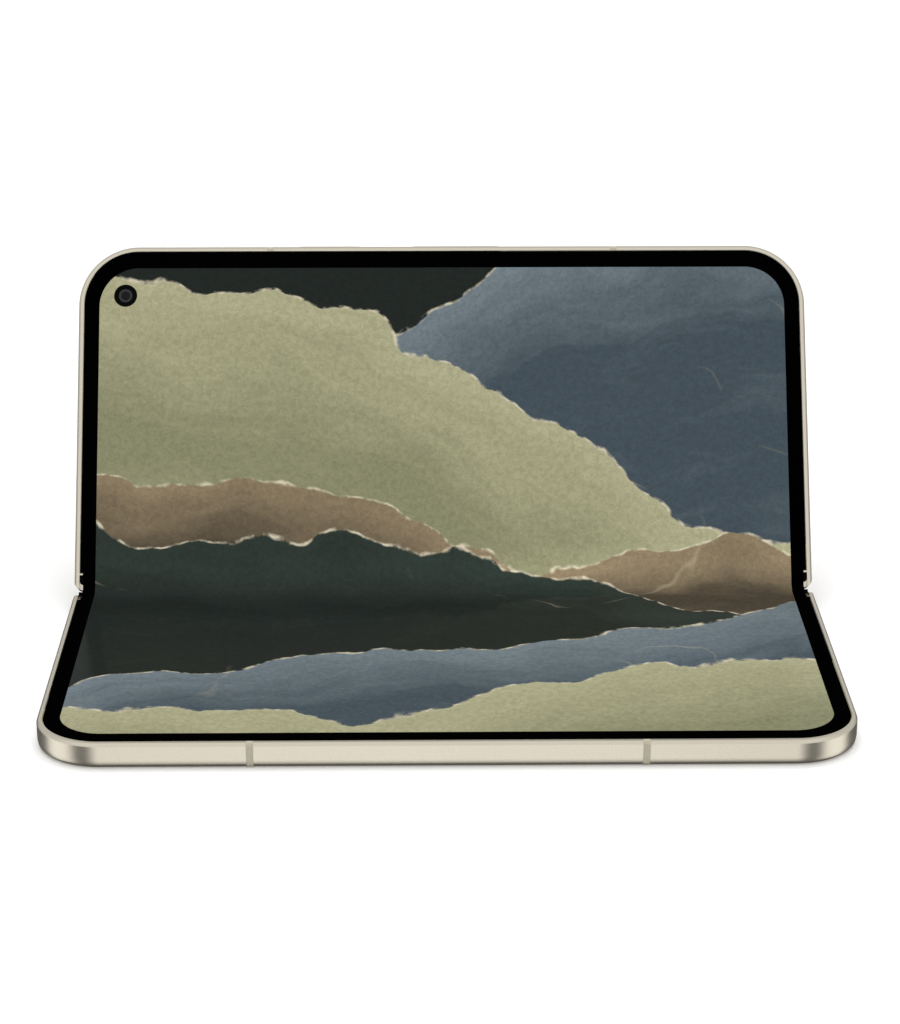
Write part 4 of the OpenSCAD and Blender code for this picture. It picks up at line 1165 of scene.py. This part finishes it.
for side in ("cover", "main"):
    bent_piece(screen_sheet(side), f"{side}_screen_sheet", side, screen,
               [f"{side}_display", "fold_display"])

# %% [markdown]
# ## The black border
#
# A thin black strip is glued over the edge of the screen. It hides the panel's wiring and
# bends with it, so it is drawn and bent in the same way: the leaf's outline with the lit
# area cut out of it.

# %% Make the border in two pieces
def lit_prism():
    """The lit area, whose border is a little wider at the far edge."""
    back = border_far - border_w
    lit = leaf_slab(border_w, -5, screen_top - 1, screen_top + 1)
    return moved(lit, Matrix.Translation((0, -back, 0)))


for side in ("cover", "main"):
    ring = leaf_slab(lip_w + screen_gap, 0, screen_top, screen_top + border_t)
    ring = carve(ring, lit_prism())
    slice_for_bend(ring)
    narrow_near_hinge(ring, inner_x - screen_gap)
    bent_piece(ring, f"{side}_border_strip", side, border_black,
               [f"{side}_border", "fold_border"])

# %% [markdown]
# ## Cables over the hinge
#
# Two flat cables carry the signals from one half to the other, below the screen. They are
# bent to the rest pose by the same rule.

# %% Make the cables
cable_box = [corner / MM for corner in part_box("hinge_cables")]
CABLE_W, CABLE_REACH, CABLE_LOW, CABLE_T = 12.0, 11.5, 3.15, 0.15
cable_x = cable_box[1].x - CABLE_W / 2
for side in ("cover", "main"):
    strips = joined([
        block((x - CABLE_W / 2, 0, CABLE_LOW), (x + CABLE_W / 2, CABLE_REACH, CABLE_LOW + CABLE_T))
        for x in (-cable_x, cable_x)
    ])
    slice_for_bend(strips)
    bent_piece(strips, f"{side}_hinge_cables", side, flex_copper, ["hinge_cables"])

# %% [markdown]
# ## Outer glass
#
# The face that lies on the table is the cover screen's black glass, and the leaning half has
# a frosted back. Both are plates with a softly rounded outer edge.

# %% Make the two outer plates
GLASS_GAP = 0.05
cover_plate = leaf_slab(glass_inset + GLASS_GAP, glass_start + GLASS_GAP, 0, glass_t)
soften(cover_plate, 0.12, at_height(0))
piece(cover_plate, "cover_outer_glass", cover_leaf, "cover_half", black_glass,
      replaces=["cover_glass"])

island_box = leaf_box("camera_island", main_leaf)
island_mid = middle_of(island_box)
ISLAND_W = island_box[1].x - island_box[0].x
ISLAND_L = island_box[1].y - island_box[0].y
ISLAND_H = -island_box[0].z
ISLAND_R = 9.0
OPENING_INSET = 0.95
rear_plate = leaf_slab(glass_inset + GLASS_GAP, glass_start + GLASS_GAP, 0, glass_t)
soften(rear_plate, 0.2, at_height(0))
opening = prism(ISLAND_W - 2 * OPENING_INSET, ISLAND_L - 2 * OPENING_INSET,
                ISLAND_R - OPENING_INSET, 4, CORNER_STEPS)
moved(opening, Matrix.Translation((island_mid.x, island_mid.y, -2)))
rear_plate = carve(rear_plate, opening)
piece(rear_plate, "rear_outer_glass", main_leaf, "main_half", frosted_glass,
      replaces=["rear_glass"])
print("camera island", round(ISLAND_W, 1), "x", round(ISLAND_L, 1), "mm")

# %% [markdown]
# ## Cameras
#
# The camera behind the screen's hole is a black cap with a stepped recess and a small lens.
# On the back, a metal island carries three large windows and a flash. Each window is a black
# glass disc with a polished ring round it, and the island's edge is rounded more than a
# milled part needs, because a hand slides over it. A cylinder for each lens would do from far
# away, but the rings are what makes it read as a camera.

# %% Build the camera behind the screen
LENS_R, RECESS_R, RECESS_DEPTH = 0.95, 1.45, 0.35


def disc_at(radius, height, x, y, z, steps=16):
    """A round plate that stands on a point of the leaf."""
    return moved(prism(2 * radius, 2 * radius, radius - 1e-4, height, steps),
                 Matrix.Translation((x, y, z)))


x, y = inner_cam_mid.x, inner_cam_mid.y
cap_top = screen_top - 0.12
cap = disc_at(INNER_CAM_R - 0.06, cap_top - panel_low, x, y, panel_low)
cap = carve(cap, disc_at(RECESS_R, 1, x, y, cap_top - RECESS_DEPTH))
soften(cap, 0.12, at_height(cap_top), segments=3)
piece(cap, "inner_camera_cap", main_leaf, "main_half", black_and_painted_shade)
lens = disc_at(LENS_R, RECESS_DEPTH, x, y, cap_top - RECESS_DEPTH + 0.01)
soften(lens, 0.2, at_height(cap_top + 0.01), segments=4)
piece(lens, "inner_camera_lens", main_leaf, "main_half", eye_glass)

# %% Build the camera island
NECK_INSET, NECK_SINK, DISC_GAP = 1.025, 0.3, 0.03
window_box = leaf_box("camera_windows", main_leaf)
flash_box = leaf_box("flash", main_leaf)
flash_mid = middle_of(flash_box)
FLASH_R = (flash_box[1].x - flash_box[0].x) / 2
barrels = [leaf_box(name, main_leaf) for name in ("wide_camera", "tele_camera", "ultrawide_camera")]
eyes = [((low.x + high.x) / 2, (low.y + high.y) / 2) for low, high in barrels]
window_xs = sorted({round(x, 3) for x, _ in eyes})
WINDOW_R = (window_box[1].x - window_box[0].x - (window_xs[-1] - window_xs[0])) / 2
print("windows of radius", round(WINDOW_R, 2), "at", [(round(x, 1), round(y, 1)) for x, y in eyes])

island = moved(prism(ISLAND_W, ISLAND_L, ISLAND_R, ISLAND_H, CORNER_STEPS),
               Matrix.Translation((island_mid.x, island_mid.y, -ISLAND_H)))
soften(island, 0.45, at_height(-ISLAND_H), segments=5)
neck = prism(ISLAND_W - 2 * NECK_INSET, ISLAND_L - 2 * NECK_INSET, ISLAND_R - 1,
             glass_t + NECK_SINK, CORNER_STEPS)
moved(neck, Matrix.Translation((island_mid.x, island_mid.y, -NECK_SINK)))
island = carve(island, neck, "UNION")
for x, y in eyes:
    island = carve(island, disc_at(WINDOW_R + DISC_GAP, 6, x, y, -4, 24))
island = carve(island, disc_at(FLASH_R + DISC_GAP, 6, flash_mid.x, flash_mid.y, -4, 12))
piece(island, "rear_camera_island", main_leaf, "main_half", satin_aluminium,
      replaces=["camera_island"])

# %% Rings, windows and flash
RING_W, RING_DEPTH = 0.7, 0.25
window_low, window_high = window_box[0].z, window_box[1].z
for number, (x, y) in enumerate(eyes, 1):
    ring = disc_at(WINDOW_R, 0.8, x, y, window_low, 24)
    ring = carve(ring, disc_at(WINDOW_R - RING_W, 2, x, y, window_low - 1, 24))
    soften(ring, 0.14, at_height(window_low), segments=3)
    piece(ring, f"lens_ring_{number}", main_leaf, "main_half", spine_aluminium,
          replaces=["camera_windows"])
    glass = disc_at(WINDOW_R - RING_W - 0.02, window_high - window_low - RING_DEPTH, x, y,
                    window_low + RING_DEPTH, 24)
    piece(glass, f"lens_window_{number}", main_leaf, "main_half", lens_glass,
          replaces=["camera_windows"])
print("camera rings", len(eyes))

# %% [markdown]
# ## Nodes that stay
#
# The hinge's gears, shafts, arms and springs, the boards, batteries and cameras keep the
# imported shapes. Each gets the finish that its slot asks for, apart from the spine, its end
# caps, the shields, the port's shell and the card reader, which get their own.

# %% Give the imported nodes their finishes
SLOT_FINISH = {
    "satin_aluminium": satin_aluminium, "band_plastic": band_plastic,
    "black_glass": black_glass, "frosted_glass": frosted_glass, "lens_glass": lens_glass,
    "screen": screen, "border": border_black, "outer_screen": black_glass,
    "hinge_steel": hinge_steel, "hinge_bronze": hinge_bronze, "circuit_board": circuit_board,
    "battery_pouch": battery_pouch, "flex_copper": flex_copper, "module_black": module_black,
    "flash_lens": flash_lens,
}
OWN_FINISH = {
    # The spine's end caps are black as painted shade for the notch beside the hinge.
    "spine_cover": spine_aluminium, "spine_end_caps": black_and_painted_shade,
    "board_shields": shield_metal, "usb_shell": shield_metal, "sim_reader": shield_metal,
}
for part in frame["record"]["subparts"]:
    obj = frame["nodes"][part["node"]]
    material = OWN_FINISH.get(part["node"], SLOT_FINISH[part["material_slot"]])
    obj.data.materials.clear()
    obj.data.materials.append(material)

# %% [markdown]
# ## Floor and light
#
# The phone stands on a white sheet, which takes its shadow and adds a little glow for the
# camera, so that it reads as white. Two large soft lamps above light it.
#
# What a metal rim shows is mostly a mirror image of the room. In a product studio that room is
# pale, with dark flags set up at the sides so that the corners get dark bands between bright
# ones. So the floor and the lamps are kept out of mirror-like rays, and the world shows those
# rays a pale room with a dark flag on each side and a darker ground far below. The camera
# itself sees plain white. Real flags made of black planes would do the same, but they would
# also shade the floor.

# %% The floor
FLOOR_SIZE, FLOOR_GLOW = 3, 0.1


def build_floor_material():
    material = bpy.data.materials.new("white_sheet")
    material.use_nodes = True
    tree = material.node_tree
    tree.nodes.clear()
    out = node(tree, "ShaderNodeOutputMaterial", (600, 0))
    diffuse = node(tree, "ShaderNodeBsdfDiffuse", (0, 100), i_Color=(0.92, 0.92, 0.92, 1))
    glow = node(tree, "ShaderNodeEmission", (0, -80), i_Color=(1, 1, 1, 1))
    path = node(tree, "ShaderNodeLightPath", (-600, 0))
    seen = math_node(tree, "MAXIMUM", (-400, 0), path.outputs["Is Camera Ray"],
                     path.outputs["Is Glossy Ray"])
    seen = math_node(tree, "MAXIMUM", (-250, 0), seen, path.outputs["Is Transmission Ray"])
    strength = math_node(tree, "MULTIPLY", (-100, -80), seen, FLOOR_GLOW)
    tree.links.new(strength, glow.inputs["Strength"])
    both = node(tree, "ShaderNodeAddShader", (300, 0))
    tree.links.new(diffuse.outputs[0], both.inputs[0])
    tree.links.new(glow.outputs[0], both.inputs[1])
    tree.links.new(both.outputs[0], out.inputs["Surface"])
    return material


floor_bm = bmesh.new()
bmesh.ops.create_grid(floor_bm, x_segments=2, y_segments=2, size=FLOOR_SIZE)
floor_mesh = bpy.data.meshes.new("floor")
floor_bm.to_mesh(floor_mesh)
floor_bm.free()
floor_mesh.materials.append(build_floor_material())
floor = bpy.data.objects.new("floor", floor_mesh)
bpy.context.scene.collection.objects.link(floor)
floor.visible_glossy = False


# %% The lamps
def soft_lamp(name, at, target, size, power):
    """A square area lamp that faces a point."""
    data = bpy.data.lights.new(name, "AREA")
    data.shape = "RECTANGLE"
    data.size, data.size_y = size
    data.energy = power
    lamp = bpy.data.objects.new(name, data)
    lamp.location = at
    lamp.rotation_euler = (Vector(target) - Vector(at)).to_track_quat("-Z", "Y").to_euler()
    lamp.visible_glossy = False
    bpy.context.scene.collection.objects.link(lamp)
    return lamp


soft_lamp("back_lamp", (0, 0.5, 1.8), (0, 0.1, 0), (1.8, 0.8), 16)
soft_lamp("top_lamp", (0, -0.2, 1.8), (0, 0, 0), (1.2, 0.8), 8)


# %% The studio around it
ROOM_LIGHT = 0.55
MIRROR_LIGHT, MIRROR_DARK = 1.22, 0.12
SKY_FRONT, SKY_BACK = 0.9, 0.66
FLAG_START, FLAG_END = math.radians(8), math.radians(64)
BACK_START, FLAG_EDGE = math.radians(96), math.radians(20)
SKY_FADE_START, SKY_FADE_END = math.radians(40), math.radians(130)
HORIZON_LOW, HORIZON_HIGH = -0.12, 0.1
STEEP_START, STEEP_END = 0.6, 0.8


def soft_step(tree, at, value, low, high):
    """A smooth ramp from 0 to 1 between two values."""
    ramp = node(tree, "ShaderNodeMapRange", at, interpolation_type="SMOOTHSTEP")
    ramp.inputs["From Min"].default_value = low
    ramp.inputs["From Max"].default_value = high
    tree.links.new(value, ramp.inputs["Value"])
    return ramp.outputs["Result"]


world = bpy.data.worlds.new("studio")
bpy.context.scene.world = world
world.use_nodes = True
tree = world.node_tree
background = tree.nodes["Background"]
background.inputs["Color"].default_value = (1, 1, 1, 1)
path = node(tree, "ShaderNodeLightPath", (-600, 400))
direct = math_node(tree, "MAXIMUM", (-400, 400), path.outputs["Is Camera Ray"],
                   path.outputs["Is Transmission Ray"])
where = node(tree, "ShaderNodeTexCoord", (-1400, 0))
split = node(tree, "ShaderNodeSeparateXYZ", (-1200, 0))
tree.links.new(where.outputs["Generated"], split.inputs[0])
aside = math_node(tree, "ABSOLUTE", (-1000, 100), split.outputs[0])
ahead = math_node(tree, "MULTIPLY", (-1000, -60), split.outputs[1], -1.0)
turn = math_node(tree, "ARCTAN2", (-840, 40), aside, ahead)
front = math_node(tree, "SUBTRACT", (-500, 120), 1.0,
                  soft_step(tree, (-680, 120), turn, FLAG_START, FLAG_START + FLAG_EDGE))
side_in = soft_step(tree, (-680, -100), turn, FLAG_END - FLAG_EDGE, FLAG_END)
side_out = math_node(tree, "SUBTRACT", (-500, -300), 1.0,
                     soft_step(tree, (-680, -300), turn, BACK_START, BACK_START + FLAG_EDGE))
beside = math_node(tree, "MULTIPLY", (-340, -160), side_in, side_out)
bands = math_node(tree, "MAXIMUM", (-200, 0), front, beside)
above = soft_step(tree, (-500, -520), split.outputs[2], HORIZON_LOW, HORIZON_HIGH)
steep = math_node(tree, "MULTIPLY", (-340, -700), split.outputs[2], -1.0)
steep = soft_step(tree, (-200, -700), steep, STEEP_START, STEEP_END)
low = math_node(tree, "SUBTRACT", (-40, -600), 1.0, steep)
bands = math_node(tree, "MULTIPLY", (-40, -100), bands, low)
mirror = math_node(tree, "MULTIPLY", (100, -100), bands, MIRROR_LIGHT - MIRROR_DARK)
mirror = math_node(tree, "ADD", (240, -100), mirror, MIRROR_DARK)
behind = soft_step(tree, (-500, -900), turn, SKY_FADE_START, SKY_FADE_END)
sky = math_node(tree, "MULTIPLY", (-340, -900), behind, SKY_BACK - SKY_FRONT)
sky = math_node(tree, "ADD", (-200, -900), sky, SKY_FRONT)
lift = math_node(tree, "SUBTRACT", (-60, -900), sky, mirror)
lift = math_node(tree, "MULTIPLY", (100, -900), lift, above)
mirror = math_node(tree, "ADD", (380, -100), mirror, lift)
glossy = path.outputs["Is Glossy Ray"]
plain = math_node(tree, "SUBTRACT", (240, 200), 1.0, glossy)
plain = math_node(tree, "MULTIPLY", (380, 200), plain, ROOM_LIGHT)
mirror = math_node(tree, "MULTIPLY", (520, -100), mirror, glossy)
level = math_node(tree, "ADD", (660, 60), plain, mirror)
level = math_node(tree, "MAXIMUM", (800, 200), level, direct)
background.location = (960, 0)
tree.nodes["World Output"].location = (1160, 0)
tree.links.new(level, background.inputs["Strength"])
bpy.context.scene.view_settings.view_transform = "Standard"
